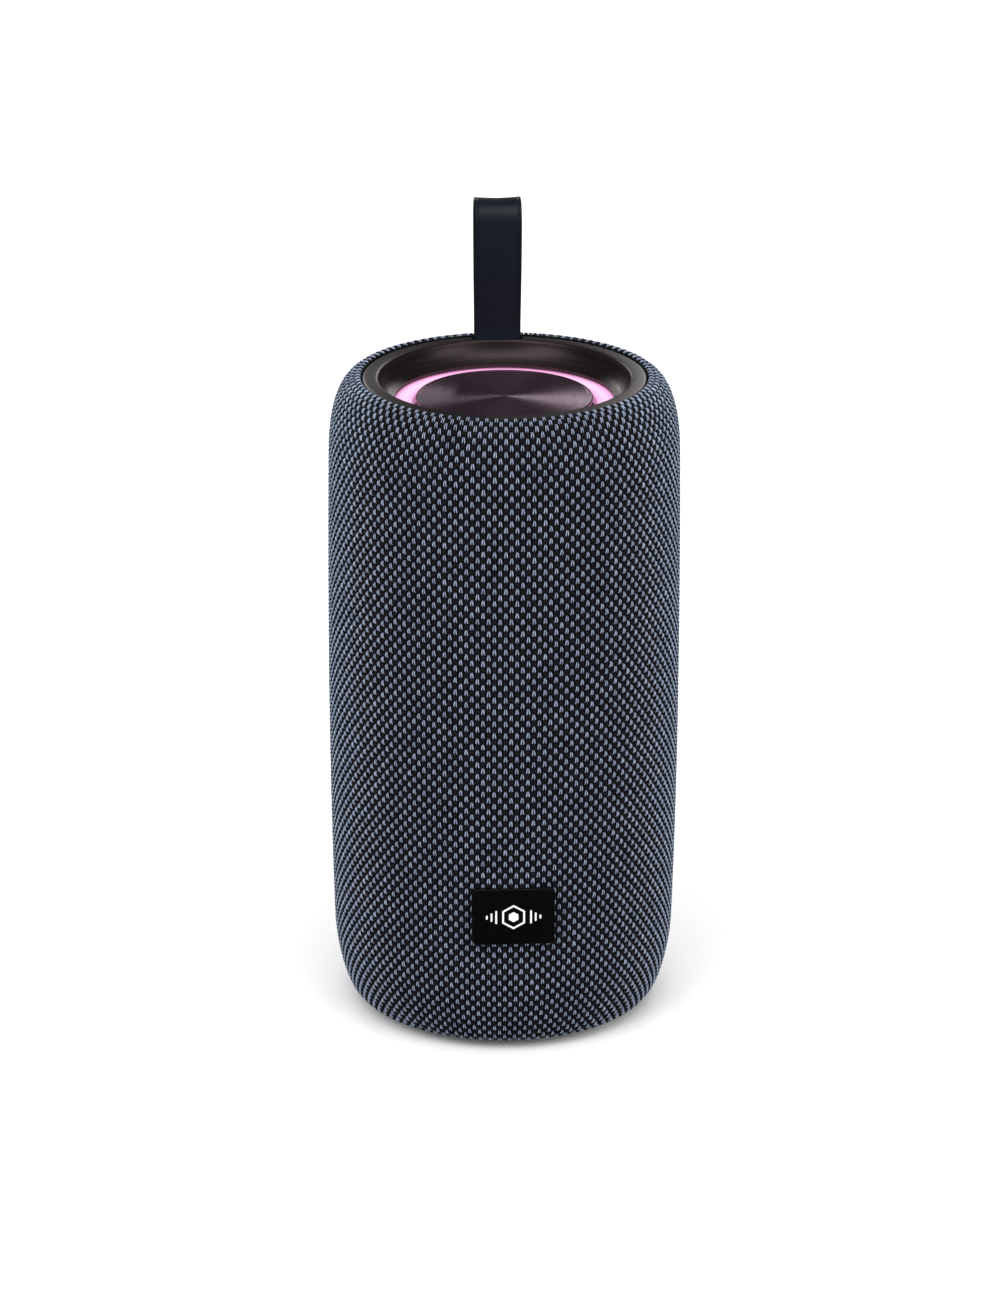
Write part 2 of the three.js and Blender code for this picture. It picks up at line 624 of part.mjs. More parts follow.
function rearShell(shell) {
  const seatWidth = PANEL_WIDTH + 2 * SEAT_WIDTH;
  const seatHeight = PANEL_HEIGHT + 2 * SEAT_WIDTH;
  const seatBlock = box(
    -seatWidth / 2,
    seatWidth / 2,
    SEAT_Y - SEAT_THICKNESS,
    SEAT_Y + SHELL_WALL,
    PANEL_Z - seatHeight / 2,
    PANEL_Z + seatHeight / 2,
  );
  const railX = MAIN_BOARD_WIDTH / 2 + FIT;
  const rails = [-1, 1].map((side) =>
    overlap(
      cavity(),
      box(
        Math.min(side * railX, side * (railX + SHELL_WALL)),
        Math.max(side * railX, side * (railX + SHELL_WALL)),
        MAIN_BOARD_Y - SHELL_WALL,
        BODY_RADIUS,
        PORTS_Z - MAIN_BOARD_HEIGHT / 2,
        PORTS_Z + MAIN_BOARD_HEIGHT / 2,
      ),
    ),
  );
  const ledges = [-1, 1].map((side) =>
    overlap(
      cavity(),
      box(
        side > 0 ? CELL_LENGTH / 2 - CRADLE_WALL : -BODY_RADIUS,
        side > 0 ? BODY_RADIUS : CRADLE_WALL - CELL_LENGTH / 2,
        FIT,
        CELL_RADIUS,
        CRADLE_BOTTOM - FIT - SHELL_WALL,
        CRADLE_BOTTOM - FIT,
      ),
    ),
  );
  const panelPocket = roundedSlab(
    PANEL_WIDTH + 2 * FIT,
    PANEL_HEIGHT + 2 * FIT,
    PANEL_CORNER + FIT,
    PANEL_Z,
    SEAT_Y,
    BODY_RADIUS + PAST,
  );
  const window = roundedSlab(
    PANEL_WIDTH - 2 * SEAT_WIDTH,
    PANEL_HEIGHT - 2 * SEAT_WIDTH,
    PANEL_CORNER - SEAT_WIDTH,
    PANEL_Z,
    SEAT_Y - SEAT_THICKNESS - PAST,
    BODY_RADIUS + PAST,
  );
  const seat = overlap(cavity(SHELL_WALL / 2), seatBlock);
  const bodyShape = cut(join(halfOf(shell, 1), [seat, ...rails, ...ledges]), [panelPocket, window]);
  return part("rear_shell", bodyShape, shellPlastic());
}

// ---------------------------------------------------------------- top
// The bowl's dished wall from the lip's inner edge to the light ring.
function bowlCurve() {
  const curve = new THREE.QuadraticBezierCurve(
    new THREE.Vector2(LIP_INNER, LIP_TOP - LIP_EDGE),
    new THREE.Vector2(LIP_INNER - BOWL_RUN / 5, BOWL_FLOOR + BOWL_DEPTH / 5),
    new THREE.Vector2(BOWL_FLOOR_RADIUS, BOWL_FLOOR),
  );
  return curve.getPoints(BOWL_STEPS).map((p) => [p.x, p.y]);
}

function slotBox(clearance, bottom) {
  const half = STRAP_WIDTH / 2 + clearance;
  const skin = STRAP_SKIN + clearance;
  return box(-half, half, STRAP_Y - skin, STRAP_Y + skin, bottom, LIP_TOP + PAST);
}

function bezel() {
  const lip = [
    [LIP_RADIUS, LIP_TOP - LIP_EDGE],
    [LIP_RADIUS - LIP_EDGE, LIP_TOP],
    [LIP_INNER + LIP_EDGE, LIP_TOP],
  ];
  const underLip = LIP_TOP - LIP_EDGE - BEZEL_WALL;
  const skirtInner = LIP_RADIUS - BEZEL_WALL;
  const thin = turned([
    [LIP_RADIUS, SKIRT_BOTTOM],
    ...lip,
    ...bowlCurve(),
    [BOWL_FLOOR_RADIUS, BEZEL_LEDGE],
    [COLLAR_INNER, BEZEL_LEDGE],
    [COLLAR_INNER, COLLAR_BOTTOM],
    [COLLAR_OUTER, COLLAR_BOTTOM],
    [COLLAR_OUTER, underLip - BEZEL_WALL],
    [skirtInner, underLip],
    [skirtInner, SKIRT_BOTTOM],
  ]);
  const filled = turned([
    [LIP_RADIUS, SKIRT_BOTTOM],
    ...lip,
    ...bowlCurve(),
    [BOWL_FLOOR_RADIUS, BEZEL_LEDGE],
    [COLLAR_INNER, BEZEL_LEDGE],
    [COLLAR_INNER, SKIRT_BOTTOM],
  ]);
  const guardHalf = CLAMP_HALF + STRAP_GUARD;
  const guard = overlap(
    filled,
    box(-guardHalf, guardHalf, BOWL_FLOOR_RADIUS, LIP_RADIUS, SKIRT_BOTTOM, LIP_TOP),
  );
  const bossTop = COLLAR_BOTTOM + SCREW_BITE + BOSS_CAP;
  const bosses = screwPlaces.map(([x, y]) => rod(SCREW_HEAD_RADIUS, COLLAR_BOTTOM, bossTop, x, y));
  const pilots = screwPlaces.map(([x, y]) =>
    rod(SCREW_RADIUS + SCREW_GAP, COLLAR_BOTTOM - PAST, COLLAR_BOTTOM + SCREW_BITE, x, y),
  );
  const clampPilots = [-1, 1].map((side) =>
    rod(
      SCREW_RADIUS + SCREW_GAP,
      SKIRT_BOTTOM - PAST,
      SKIRT_BOTTOM + CLAMP_BITE + BOSS_CAP,
      side * CLAMP_SCREW_X,
      CLAMP_SCREW_Y,
    ),
  );
  const roomHalf = STRAP_FOOT_HALF + FIT;
  const footRoom = box(
    -roomHalf,
    roomHalf,
    STRAP_Y - STRAP_SKIN - FIT,
    LIP_RADIUS + PAST,
    COLLAR_BOTTOM - PAST,
    SKIRT_BOTTOM,
  );
  const body = cut(join(thin, [guard, ...bosses]), [
    slotBox(FIT, COLLAR_BOTTOM),
    footRoom,
    ...pilots,
    ...clampPilots,
  ]);
  return part("top_bezel", body, bezelLacquer());
}

function lightRing() {
  const rimInner = RING_RADIUS - COLLAR_WALL;
  const section = [
    [RING_HOLE, RING_BOTTOM],
    [rimInner, RING_BOTTOM],
    [rimInner, RING_BOTTOM - RING_RIM],
    [RING_RADIUS, RING_BOTTOM - RING_RIM],
    [RING_RADIUS, RING_TOP],
    [RING_HOLE, RING_TOP],
  ];
  return part("light_ring", turned(section, MEDIUM * 2), diffuser());
}

function lampBoard() {
  const rimInner = RING_RADIUS - COLLAR_WALL;
  const lampCircle = (RING_HOLE + rimInner) / 2;
  const plate = ring(RING_HOLE, RING_RADIUS, BOARD_BOTTOM, BOARD_TOP, MEDIUM);
  const half = LAMP_SIZE / 2;
  const lamps = onCircle(lampCircle, LAMP_COUNT).map(([x, y]) =>
    box(x - half, x + half, y - half, y + half, BOARD_TOP - LAMP_HEIGHT, BOARD_TOP + LAMP_HEIGHT),
  );
  return part("lamp_board", join(plate, lamps), board());
}

// ---------------------------------------------------------------- radiators
// A passive radiator: a fixed frame, a rubber roll and a piston. Its frame's lower face is at z = 0
// and the roll and the rim stand up. hubHeight lifts a hub on the piston; 0 leaves it flat.
function radiator(prefix, hubHeight) {
  const group = new THREE.Group();
  const rimInner = RING_RADIUS - RADIATOR_RIM_WIDTH;
  const frameTop = RADIATOR_FRAME_THICKNESS;
  const frame = cut(
    turned([
      [RADIATOR_HOLE, 0],
      [RADIATOR_FRAME_RADIUS, 0],
      [RADIATOR_FRAME_RADIUS, frameTop],
      [RING_RADIUS, frameTop],
      [RING_RADIUS, frameTop + RADIATOR_RIM],
      [rimInner, frameTop + RADIATOR_RIM],
      [rimInner, frameTop],
      [RADIATOR_HOLE, frameTop],
    ], MEDIUM),
    screwPlaces.map(([x, y]) => rod(SCREW_RADIUS + SCREW_GAP, -PAST, frameTop + PAST, x, y)),
  );
  const rollInner = PISTON_RADIUS + FIT;
  const rollOuter = RADIATOR_HOLE - FIT;
  group.add(part(`${prefix}_radiator_frame`, frame, shellPlastic()));
  group.add(part(`${prefix}_radiator_surround`, roll(rollInner, rollOuter, frameTop / 2), rubber()));
  const middle = frameTop / 2;
  const half = PISTON_THICKNESS / 2;
  const plate = ring(0, PISTON_RADIUS, middle - half, middle + half, MEDIUM);
  const hub = rod(PISTON_RADIUS - HUB_INSET, middle, middle + hubHeight, 0, 0, MEDIUM);
  const piston = hubHeight > 0 ? join(plate, [hub]) : plate;
  group.add(part(`${prefix}_radiator_piston`, piston, shellPlastic()));
  return group;
}

// A half-round rubber roll between two radii, with a flat lip on each side.
function roll(inner, outer, middle) {
  const reach = (outer - inner) / 2 - ROLL_LIP;
  const centre = (inner + outer) / 2;
  const arch = (r, height, steps = 3) =>
    Array.from({ length: steps + 1 }, (_, i) => {
      const angle = Math.PI * (1 - i / steps);
      return [centre + r * Math.cos(angle), middle + height * Math.sin(angle)];
    });
  const skin = ROLL_SKIN / 2;
  const upper = arch(reach, ROLL_HEIGHT).map(([r, z]) => [r, z + skin]);
  const lower = arch(reach - skin, ROLL_HEIGHT).map(([r, z]) => [r, z - skin]);
  return turned([
    [inner, middle - skin],
    [inner, middle + skin],
    ...upper,
    [outer, middle + skin],
    [outer, middle - skin],
    ...lower.reverse(),
  ], MEDIUM);
}

function topDisc() {
  return part("radiator_disc", ring(0, DISC_RADIUS, DISC_TOP - DISC_THICKNESS, DISC_TOP), brushedPlate());
}

// ---------------------------------------------------------------- base
function baseCap() {
  const grooveInner = FOOT_INNER - FIT;
  const grooveOuter = FOOT_OUTER + FIT;
  const grooveTop = FOOT_HEIGHT + FOOT_SEAT + FIT;
  const section = [
    [BASE_OPENING, FOOT_HEIGHT],
    [grooveInner, FOOT_HEIGHT],
    [grooveInner, grooveTop],
    [grooveOuter, grooveTop],
    [grooveOuter, FOOT_HEIGHT],
    [BASE_CAP_RADIUS, FOOT_HEIGHT],
    [BASE_CAP_RADIUS, BASE_CAP_TOP],
    [BASE_OPENING, BASE_CAP_TOP],
  ];
  const sunk = FOOT_HEIGHT + SCREW_HEAD + FIT;
  const holes = screwPlaces.flatMap(([x, y]) => [
    rod(SCREW_RADIUS + SCREW_GAP, 0, BASE_CAP_TOP + PAST, x, y),
    rod(SCREW_HEAD_RADIUS + FIT, 0, sunk, x, y),
  ]);
  return part("base_cap", cut(turned(section, MEDIUM * 2), holes), shellPlastic());
}

function footRing() {
  return part("foot_ring", ring(FOOT_INNER, FOOT_OUTER, 0, FOOT_HEIGHT + FOOT_SEAT), rubber());
}

// ---------------------------------------------------------------- screws
// A pan-head screw with a cross recess, head down: the head's seat is at z = 0.
function screw(name, length, headRadius = SCREW_HEAD_RADIUS) {
  const bar = headRadius * CROSS_REACH;
  const blade = headRadius * CROSS_HALF_WIDTH;
  const shank = SCREW_RADIUS - SCREW_GAP / 3;
  const body = turned(
    [
      [0, -SCREW_HEAD],
      [headRadius * HEAD_CROWN, -SCREW_HEAD],
      [headRadius, -SCREW_HEAD / 2],
      [headRadius, 0],
      [shank, 0],
      [shank, length - SCREW_RADIUS],
      [0, length],
    ],
    SMALL,
  );
  const depth = -SCREW_HEAD / 2;
  const cross = [
    box(-bar, bar, -blade, blade, -SCREW_HEAD - PAST, depth),
    box(-blade, blade, -bar, bar, -SCREW_HEAD - PAST, depth),
  ];
  return part(name, cut(body, cross), steel());
}

function screws() {
  const group = new THREE.Group();
  const baseSeat = FOOT_HEIGHT + SCREW_HEAD + FIT;
  const baseLength = BOTTOM_FRAME_TOP - baseSeat + SCREW_RADIUS;
  const topSeat = TOP_LEDGE - LEDGE_THICKNESS;
  const topLength = COLLAR_BOTTOM - topSeat + SCREW_BITE - SCREW_RADIUS;
  const clampLength = SKIRT_BOTTOM - CLAMP_BOTTOM + CLAMP_BITE;
  screwPlaces.forEach(([x, y], i) => {
    const base = screw(`base_screw_${i + 1}`, baseLength);
    base.position.set(x, y, baseSeat);
    const top = screw(`bezel_screw_${i + 1}`, topLength);
    top.position.set(x, y, topSeat);
    group.add(base, top);
  });
  [-1, 1].forEach((side, i) => {
    const clamp = screw(`strap_clamp_screw_${i + 1}`, clampLength, SMALL_HEAD_RADIUS);
    clamp.position.set(side * CLAMP_SCREW_X, CLAMP_SCREW_Y, CLAMP_BOTTOM);
    group.add(clamp);
  });
  return group;
}

// ---------------------------------------------------------------- driver
// Built facing +Z, with the baffle's rear face at z = 0, and then turned to face -Y.
function driver() {
  const group = new THREE.Group();
  const gasketBottom = -FIT - GASKET_THICKNESS;
  const flangeTop = gasketBottom - FIT;
  const flangeBottom = flangeTop - DRIVER_FLANGE;
  const flangeInner = DRIVER_MOUTH - MOUTH_LIP;
  const basketBottom = flangeTop - BASKET_DEPTH;
  const basketFloor = basketBottom - BASKET_FLOOR;
  const basketRadius = MAGNET_RADIUS + BASKET_MARGIN;
  const basketHole = COIL_RADIUS + BASKET_OPENING;
  const plateTop = basketFloor - FIT;
  const magnetTop = plateTop - POLE_THICKNESS - FIT;
  const yokeTop = magnetTop - MAGNET_THICKNESS - FIT;
  const gapRadius = COIL_RADIUS + 2 * FIT;
  const holes = driverScrewPlaces.map(([x, y]) =>
    rod(SCREW_RADIUS + SCREW_GAP, flangeBottom - PAST, PAST, x, y),
  );
  const basket = turned(
    [
      [DRIVER_RADIUS, flangeTop],
      [DRIVER_RADIUS, flangeBottom],
      [DRIVER_MOUTH, flangeBottom],
      [basketRadius, basketBottom],
      [basketRadius, basketFloor],
      [basketHole, basketFloor],
      [basketHole, basketBottom],
      [basketRadius - BASKET_WALL, basketBottom],
      [flangeInner, flangeBottom],
      [flangeInner, flangeTop],
    ],
    MEDIUM,
  );
  const windowWidth = BASKET_DEPTH / 3;
  const windows = [0, 1, 2].map((i) =>
    box(-windowWidth, windowWidth, -DRIVER_RADIUS, DRIVER_RADIUS, 0, BASKET_DEPTH / 2)
      .rotateZ((i * Math.PI) / 3)
      .translate(0, 0, basketBottom + BASKET_FLOOR),
  );
  group.add(part("driver_frame", cut(basket, [...windows, ...holes]), shellPlastic()));
  const gasketRing = ring(DRIVER_MOUTH, DRIVER_RADIUS, gasketBottom, -FIT, MEDIUM);
  group.add(part("driver_gasket", cut(gasketRing, holes), rubber()));

  const coneRadius = flangeInner - CONE_MARGIN;
  const coneRim = flangeTop - GASKET_THICKNESS;
  const coneNeck = coneRim - CONE_DEPTH;
  group.add(part("driver_surround", roll(coneRadius + FIT, flangeInner - FIT, coneRim), rubber()));
  const cone = turned(
    [
      [coneRadius, coneRim],
      [COIL_RADIUS, coneNeck],
      [COIL_RADIUS, coneNeck - CONE_SKIN],
      [coneRadius, coneRim - CONE_SKIN],
    ],
    MEDIUM,
  );
  group.add(part("driver_cone", cone, paper()));
  const cap = dome(COIL_RADIUS + FIT, coneNeck + 2 * CONE_SKIN, CONE_DEPTH / 3, CONE_SKIN);
  group.add(part("driver_dust_cap", cap, paper()));
  const coilTop = coneNeck - CONE_SKIN - FIT;
  const windingTop = plateTop - FIT;
  const coilBottom = magnetTop - MAGNET_THICKNESS / 4;
  const coil = turned(
    [
      [COIL_RADIUS - COIL_WALL, coilTop],
      [COIL_RADIUS - FIT, coilTop],
      [COIL_RADIUS - FIT, windingTop],
      [COIL_RADIUS, windingTop],
      [COIL_RADIUS, coilBottom],
      [COIL_RADIUS - COIL_WALL, coilBottom],
    ],
    MEDIUM,
  );
  group.add(part("driver_voice_coil", coil, copperCoil()));
  const spiderRadius = basketRadius - BASKET_WALL - BASKET_MARGIN;
  const suspension = spider(gapRadius, spiderRadius, basketBottom + BASKET_FLOOR);
  group.add(part("driver_spider", suspension, paper()));
  const plateRadius = MAGNET_RADIUS - PLATE_INSET;
  const topPlate = ring(gapRadius, plateRadius, plateTop - POLE_THICKNESS, plateTop, MEDIUM);
  group.add(part("driver_top_plate", topPlate, steel()));
  const magnetHole = gapRadius + PLATE_INSET;
  const magnet = ring(magnetHole, MAGNET_RADIUS, magnetTop - MAGNET_THICKNESS, magnetTop, MEDIUM);
  group.add(part("driver_magnet", magnet, ferrite()));
  const backPlate = ring(0, plateRadius, yokeTop - YOKE_THICKNESS, yokeTop, MEDIUM);
  const pole = ring(0, COIL_RADIUS - COIL_WALL - FIT, yokeTop - YOKE_THICKNESS / 2, plateTop, MEDIUM);
  group.add(part("driver_yoke", join(backPlate, [pole]), steel()));
  const screwLength = BAFFLE_THICKNESS - flangeBottom + FIT;
  driverScrewPlaces.forEach(([x, y], i) => {
    const fixing = screw(`driver_screw_${i + 1}`, screwLength, SMALL_HEAD_RADIUS);
    fixing.position.set(x, y, flangeBottom - FIT);
    group.add(fixing);
  });
  group.rotation.x = Math.PI / 2;
  group.position.set(0, -BAFFLE_Y, DRIVER_HEIGHT);
  return group;
}

// A thin dome on the axis, from a rim radius up to its height.
function dome(radius, rim, height, skin) {
  const arc = (r, h, steps = 4) =>
    Array.from({ length: steps + 1 }, (_, i) => {
      const angle = (i / steps) * (Math.PI / 2);
      return [i === steps ? 0 : r * Math.cos(angle), rim + h * Math.sin(angle)];
    });
  return turned([...arc(radius, height), ...arc(radius - skin, height - skin).reverse()], MEDIUM);
}

// A thin corrugated disc between two radii.
function spider(inner, outer, middle) {
  const steps = 4 * SPIDER_WAVES;
  const wave = (offset) =>
    Array.from({ length: steps + 1 }, (_, i) => {
      const share = i / steps;
      const height = SPIDER_RISE * Math.sin(share * SPIDER_WAVES * 2 * Math.PI);
      return [inner + share * (outer - inner), middle + height + offset];
    });
  return turned([...wave(-SPIDER_SKIN), ...wave(SPIDER_SKIN).reverse()], SMALL * 2);
}

// ---------------------------------------------------------------- controls
function buttonZ(index) {
  return BUTTON_TOP_Z - index * BUTTON_PITCH;
}

function controlPanel() {
  const plate = roundedSlab(PANEL_WIDTH, PANEL_HEIGHT, PANEL_CORNER, PANEL_Z, PANEL_BACK, PANEL_Y);
  const buttonHoles = BUTTONS.map((_, i) =>
    roundedSlab(
      BUTTON_WIDTH + 2 * FIT,
      BUTTON_HEIGHT + 2 * FIT,
      BUTTON_CORNER + FIT,
      buttonZ(i),
      PANEL_BACK - PAST,
      PANEL_Y + PAST,
    ),
  );
  const bay = roundedSlab(
    FLAP_WIDTH + 2 * FIT,
    FLAP_HEIGHT + 2 * FIT,
    FIT,
    PORTS_Z,
    PANEL_BACK - PAST,
    PANEL_Y + PAST,
  );
  return part("control_panel", cut(plate, [...buttonHoles, bay]), silicone());
}

// A button: a cap in the panel, a flange behind it and a stem towards its switch.
function button(name, index) {
  const z = buttonZ(index);
  const face = PANEL_Y + BUTTON_PROUD;
  const flangeY = PANEL_BACK - FIT;
  const cap = roundedSlab(BUTTON_WIDTH, BUTTON_HEIGHT, BUTTON_CORNER, z, flangeY - BUTTON_FLANGE / 2, face);
  const flange = roundedSlab(
    BUTTON_WIDTH + 2 * BUTTON_FLANGE_REACH,
    BUTTON_HEIGHT + 2 * BUTTON_FLANGE_RISE,
    BUTTON_CORNER,
    z,
    flangeY - BUTTON_FLANGE,
    flangeY,
  );
  const half = BUTTON_STEM / 2;
  const stem = box(-half, half, SEAT_Y - SEAT_THICKNESS, flangeY, z - half, z + half);
  return part(name, join(cap, [flange, stem]), silicone());
}

function buttonBoard() {
  const middle = buttonZ((BUTTONS.length - 1) / 2);
  const half = ((BUTTONS.length - 1) * BUTTON_PITCH) / 2 + SWITCH_SIZE;
  const top = SEAT_Y - SEAT_THICKNESS - BUTTON_TRAVEL - FIT / 2;
  const face = top - SWITCH_HEIGHT;
  const side = PANEL_WIDTH / 2 - SEAT_WIDTH - FIT;
  const plate = box(-side, side, face - BOARD_THICKNESS, face, middle - half, middle + half);
  const arm = SWITCH_SIZE / 2;
  const switches = BUTTONS.map((_, i) =>
    box(-arm, arm, face - BOARD_THICKNESS / 2, top, buttonZ(i) - arm, buttonZ(i) + arm),
  );
  return part("button_board", join(plate, switches), board());
}

function portFlap() {
  const outline = new THREE.Shape();
  const radius = FLAP_THICKNESS / 2;
  outline.absarc(FLAP_AXIS_X, FLAP_AXIS_Y, radius, Math.PI / 2, Math.PI * 1.5);
  outline.lineTo(FLAP_WIDTH / 2, FLAP_AXIS_Y - radius);
  outline.lineTo(FLAP_WIDTH / 2, FLAP_AXIS_Y + radius);
  const body = extruded(outline, FLAP_HEIGHT).translate(0, 0, PORTS_Z - FLAP_HEIGHT / 2);
  return part("port_flap", body, silicone());
}

function sockets() {
  const [back, front] = [SEAT_Y - PORT_DEPTH, SEAT_Y];
  const socket = (width, height, corner, z) => {
    const [innerWidth, innerHeight] = [width - 2 * SOCKET_WALL, height - 2 * SOCKET_WALL];
    const room = roundedSlab(innerWidth, innerHeight, corner / 2, z, back + 2 * SOCKET_WALL, front + PAST);
    return cut(roundedSlab(width, height, corner, z, back, front), [room]);
  };
  const usb = socket(USB_WIDTH, USB_HEIGHT, USB_CORNER, PORTS_Z + PORT_PITCH);
  const card = socket(CARD_WIDTH, CARD_HEIGHT, CARD_CORNER, PORTS_Z - PORT_PITCH);
  const jackHole = rod(JACK_BORE, 0, PORT_DEPTH)
    .rotateX(Math.PI / 2)
    .translate(0, front + PAST, PORTS_Z);
  const aux = cut(roundedSlab(JACK_WIDTH, JACK_HEIGHT, SOCKET_WALL, PORTS_Z, back, front), [jackHole]);
  return [
    part("usb_socket", usb, steel()),
    part("aux_socket", aux, glossBlack()),
    part("card_slot", card, steel()),
  ];
}

function mainBoard() {
  const half = MAIN_BOARD_THICKNESS / 2;
  const plate = box(
    -MAIN_BOARD_WIDTH / 2,
    MAIN_BOARD_WIDTH / 2,
    MAIN_BOARD_Y - half,
    MAIN_BOARD_Y + half,
    PORTS_Z - MAIN_BOARD_HEIGHT / 2,
    PORTS_Z + MAIN_BOARD_HEIGHT / 2,
  );
  const chips = CHIPS.map(([left, width, rise, height, thickness]) =>
    box(
      left,
      left + width,
      MAIN_BOARD_Y - half - thickness,
      MAIN_BOARD_Y,
      PORTS_Z + rise,
      PORTS_Z + rise + height,
    ),
  );
  return part("main_board", join(plate, chips), board());
}

// ---------------------------------------------------------------- battery and leads
function battery() {
  const cell = turned(
    [
      [0, -CELL_LENGTH / 2],
      [CELL_RADIUS, -CELL_LENGTH / 2],
      [CELL_RADIUS, CELL_LENGTH / 2 - CELL_CAP],
      [CELL_RADIUS / 3, CELL_LENGTH / 2 - CELL_CAP],
      [CELL_RADIUS / 3, CELL_LENGTH / 2],
      [0, CELL_LENGTH / 2],
    ],
    CELL_SIDES,
  ).rotateY(Math.PI / 2);
  const cellMesh = part("battery_cell", cell, cellWrap());
  cellMesh.position.z = CELL_Z;
  const half = CELL_LENGTH / 2 + FIT;
  const trough = ring(0, CELL_RADIUS + FIT, -half, half, CELL_SIDES)
    .rotateY(Math.PI / 2)
    .translate(0, 0, CELL_Z);
  const block = box(
    -half - CRADLE_WALL,
    half + CRADLE_WALL,
    -CELL_RADIUS,
    CELL_RADIUS,
    CRADLE_BOTTOM,
    CELL_Z - CELL_RADIUS / 3,
  );
  return [cellMesh, part("battery_cradle", cut(block, [trough]), shellPlastic())];
}

function leads() {
  const boardFace = MAIN_BOARD_Y - MAIN_BOARD_THICKNESS / 2 - 2 * FIT;
  const overCell = CELL_Z + CELL_RADIUS + 2 * LEAD_RADIUS;
  const routeY = [CELL_CAP, boardFace / 3, (2 * boardFace) / 3, boardFace];
  const batteryRoute = BATTERY_LEAD_X.map((x, i) => [x, routeY[i], overCell + i * BATTERY_LEAD_RISE]);
  batteryRoute.at(-1)[2] = PORTS_Z + BATTERY_LEAD_END;
  const batteryLead = tube(batteryRoute, LEAD_RADIUS);
  const besideMagnet = MAGNET_RADIUS + DRIVER_LEAD_GAP;
  const aboveBoard = PORTS_Z + MAIN_BOARD_HEIGHT / 2;
  const driverLead = tube(
    [
      [besideMagnet, BASKET_DEPTH - BAFFLE_Y, DRIVER_HEIGHT],
      [besideMagnet + DRIVER_LEAD_SLACK, 0, DRIVER_HEIGHT - 2 * DRIVER_LEAD_SLACK],
      [besideMagnet, boardFace / 2, (DRIVER_HEIGHT + aboveBoard) / 2],
      [DRIVER_LEAD_END_X, boardFace, aboveBoard - 2 * DRIVER_LEAD_SLACK],
    ],
    LEAD_RADIUS,
  );
  return [part("battery_lead", batteryLead, wireSkin()), part("driver_lead", driverLead, wireSkin())];
}

// ---------------------------------------------------------------- strap
// An outline in Y and Z about the hinge axis: two sides that part from a height above the axis,
// start half a width apart there and meet in a round crown.
function dropOutline(start, halfWidth, bulge, top) {
  const crown = top - bulge;
  const spread = start + (crown - start) * STRAP_SPREAD;
  const widen = start + (crown - start) * STRAP_WIDEN;
  const shape = new THREE.Shape();
  if (halfWidth > 0) shape.absarc(0, start, halfWidth, Math.PI, 2 * Math.PI);
  else shape.moveTo(0, start);
  shape.bezierCurveTo(halfWidth, spread, bulge, widen, bulge, crown);
  shape.absarc(0, crown, bulge, 0, Math.PI);
  shape.bezierCurveTo(-bulge, widen, -halfWidth, spread, -halfWidth, start);
  return shape;
}

function strapLoop() {
  const top = STRAP_RISE - STRAP_AXIS_RISE;
  const loop = dropOutline(0, STRAP_SKIN, STRAP_BULGE, top);
  loop.holes.push(dropOutline(STRAP_GAP_RISE, 0, STRAP_BULGE - STRAP_SKIN, top - STRAP_SKIN));
  const mesh = part("strap_loop", slabX(loop, STRAP_WIDTH, 6), strapSkin());
  mesh.position.set(0, STRAP_Y, STRAP_AXIS);
  return mesh;
}

function strapRoot() {
  const top = STRAP_AXIS - STRAP_SKIN - FIT;
  const footTop = SKIRT_BOTTOM - FIT;
  const footBottom = CLAMP_BOTTOM + CLAMP_THICKNESS + FIT;
  const half = STRAP_WIDTH / 2;
  const y0 = STRAP_Y - STRAP_SKIN;
  const y1 = STRAP_Y + STRAP_SKIN;
  const stem = box(-half, half, y0, y1, footBottom, top);
  const foot = box(-STRAP_FOOT_HALF, STRAP_FOOT_HALF, y0, y1, footBottom, footTop);
  return part("strap_root", join(stem, [foot]), strapSkin());
}

function strapClamp() {
  const outer = LIP_RADIUS - FIT;
  const top = CLAMP_BOTTOM + CLAMP_THICKNESS;
  const bar = box(-CLAMP_HALF, CLAMP_HALF, COLLAR_INNER, outer, CLAMP_BOTTOM, top);
  const collarRoom = ring(0, COLLAR_OUTER + FIT, CLAMP_BOTTOM - PAST, SKIRT_BOTTOM);
  const holes = [-1, 1].map((side) =>
    rod(SCREW_RADIUS + SCREW_GAP, CLAMP_BOTTOM - PAST, top + PAST, side * CLAMP_SCREW_X, CLAMP_SCREW_Y),
  );
  return part("strap_clamp", cut(bar, [collarRoom, ...holes]), shellPlastic());
}

// ---------------------------------------------------------------- assembly
const speaker = new THREE.Group();
const shell = wholeShell();
speaker.add(sleeve(), badge(), frontShell(shell), rearShell(shell));
speaker.add(bezel(), lightRing(), lampBoard(), topDisc());
const pistonZ = TOP_FRAME_BOTTOM + RADIATOR_FRAME_THICKNESS / 2;
const topRadiator = radiator("top", DISC_TOP - DISC_THICKNESS - FIT - pistonZ);
topRadiator.position.z = TOP_FRAME_BOTTOM;
const bottomRadiator = radiator("bottom", 0);
bottomRadiator.rotation.x = Math.PI;
bottomRadiator.position.z = BOTTOM_FRAME_TOP;
speaker.add(topRadiator, bottomRadiator, baseCap(), footRing(), screws(), driver());
speaker.add(controlPanel(), ...BUTTONS.map(button), buttonBoard(), portFlap());
speaker.add(...sockets(), mainBoard(), ...battery(), ...leads());
speaker.add(strapLoop(), strapRoot(), strapClamp());

export default speaker;
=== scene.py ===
"""A knitted barrel speaker with a light ring, a strap and a badge, dressed over its CAD frame.

Sizes in the dataclasses are millimetres, as in the CAD; meshes are made in metres.
"""

import json
import logging
import math
from dataclasses import dataclass
from enum import Enum

import bmesh
import bpy
from mathutils import Euler, Matrix, Vector


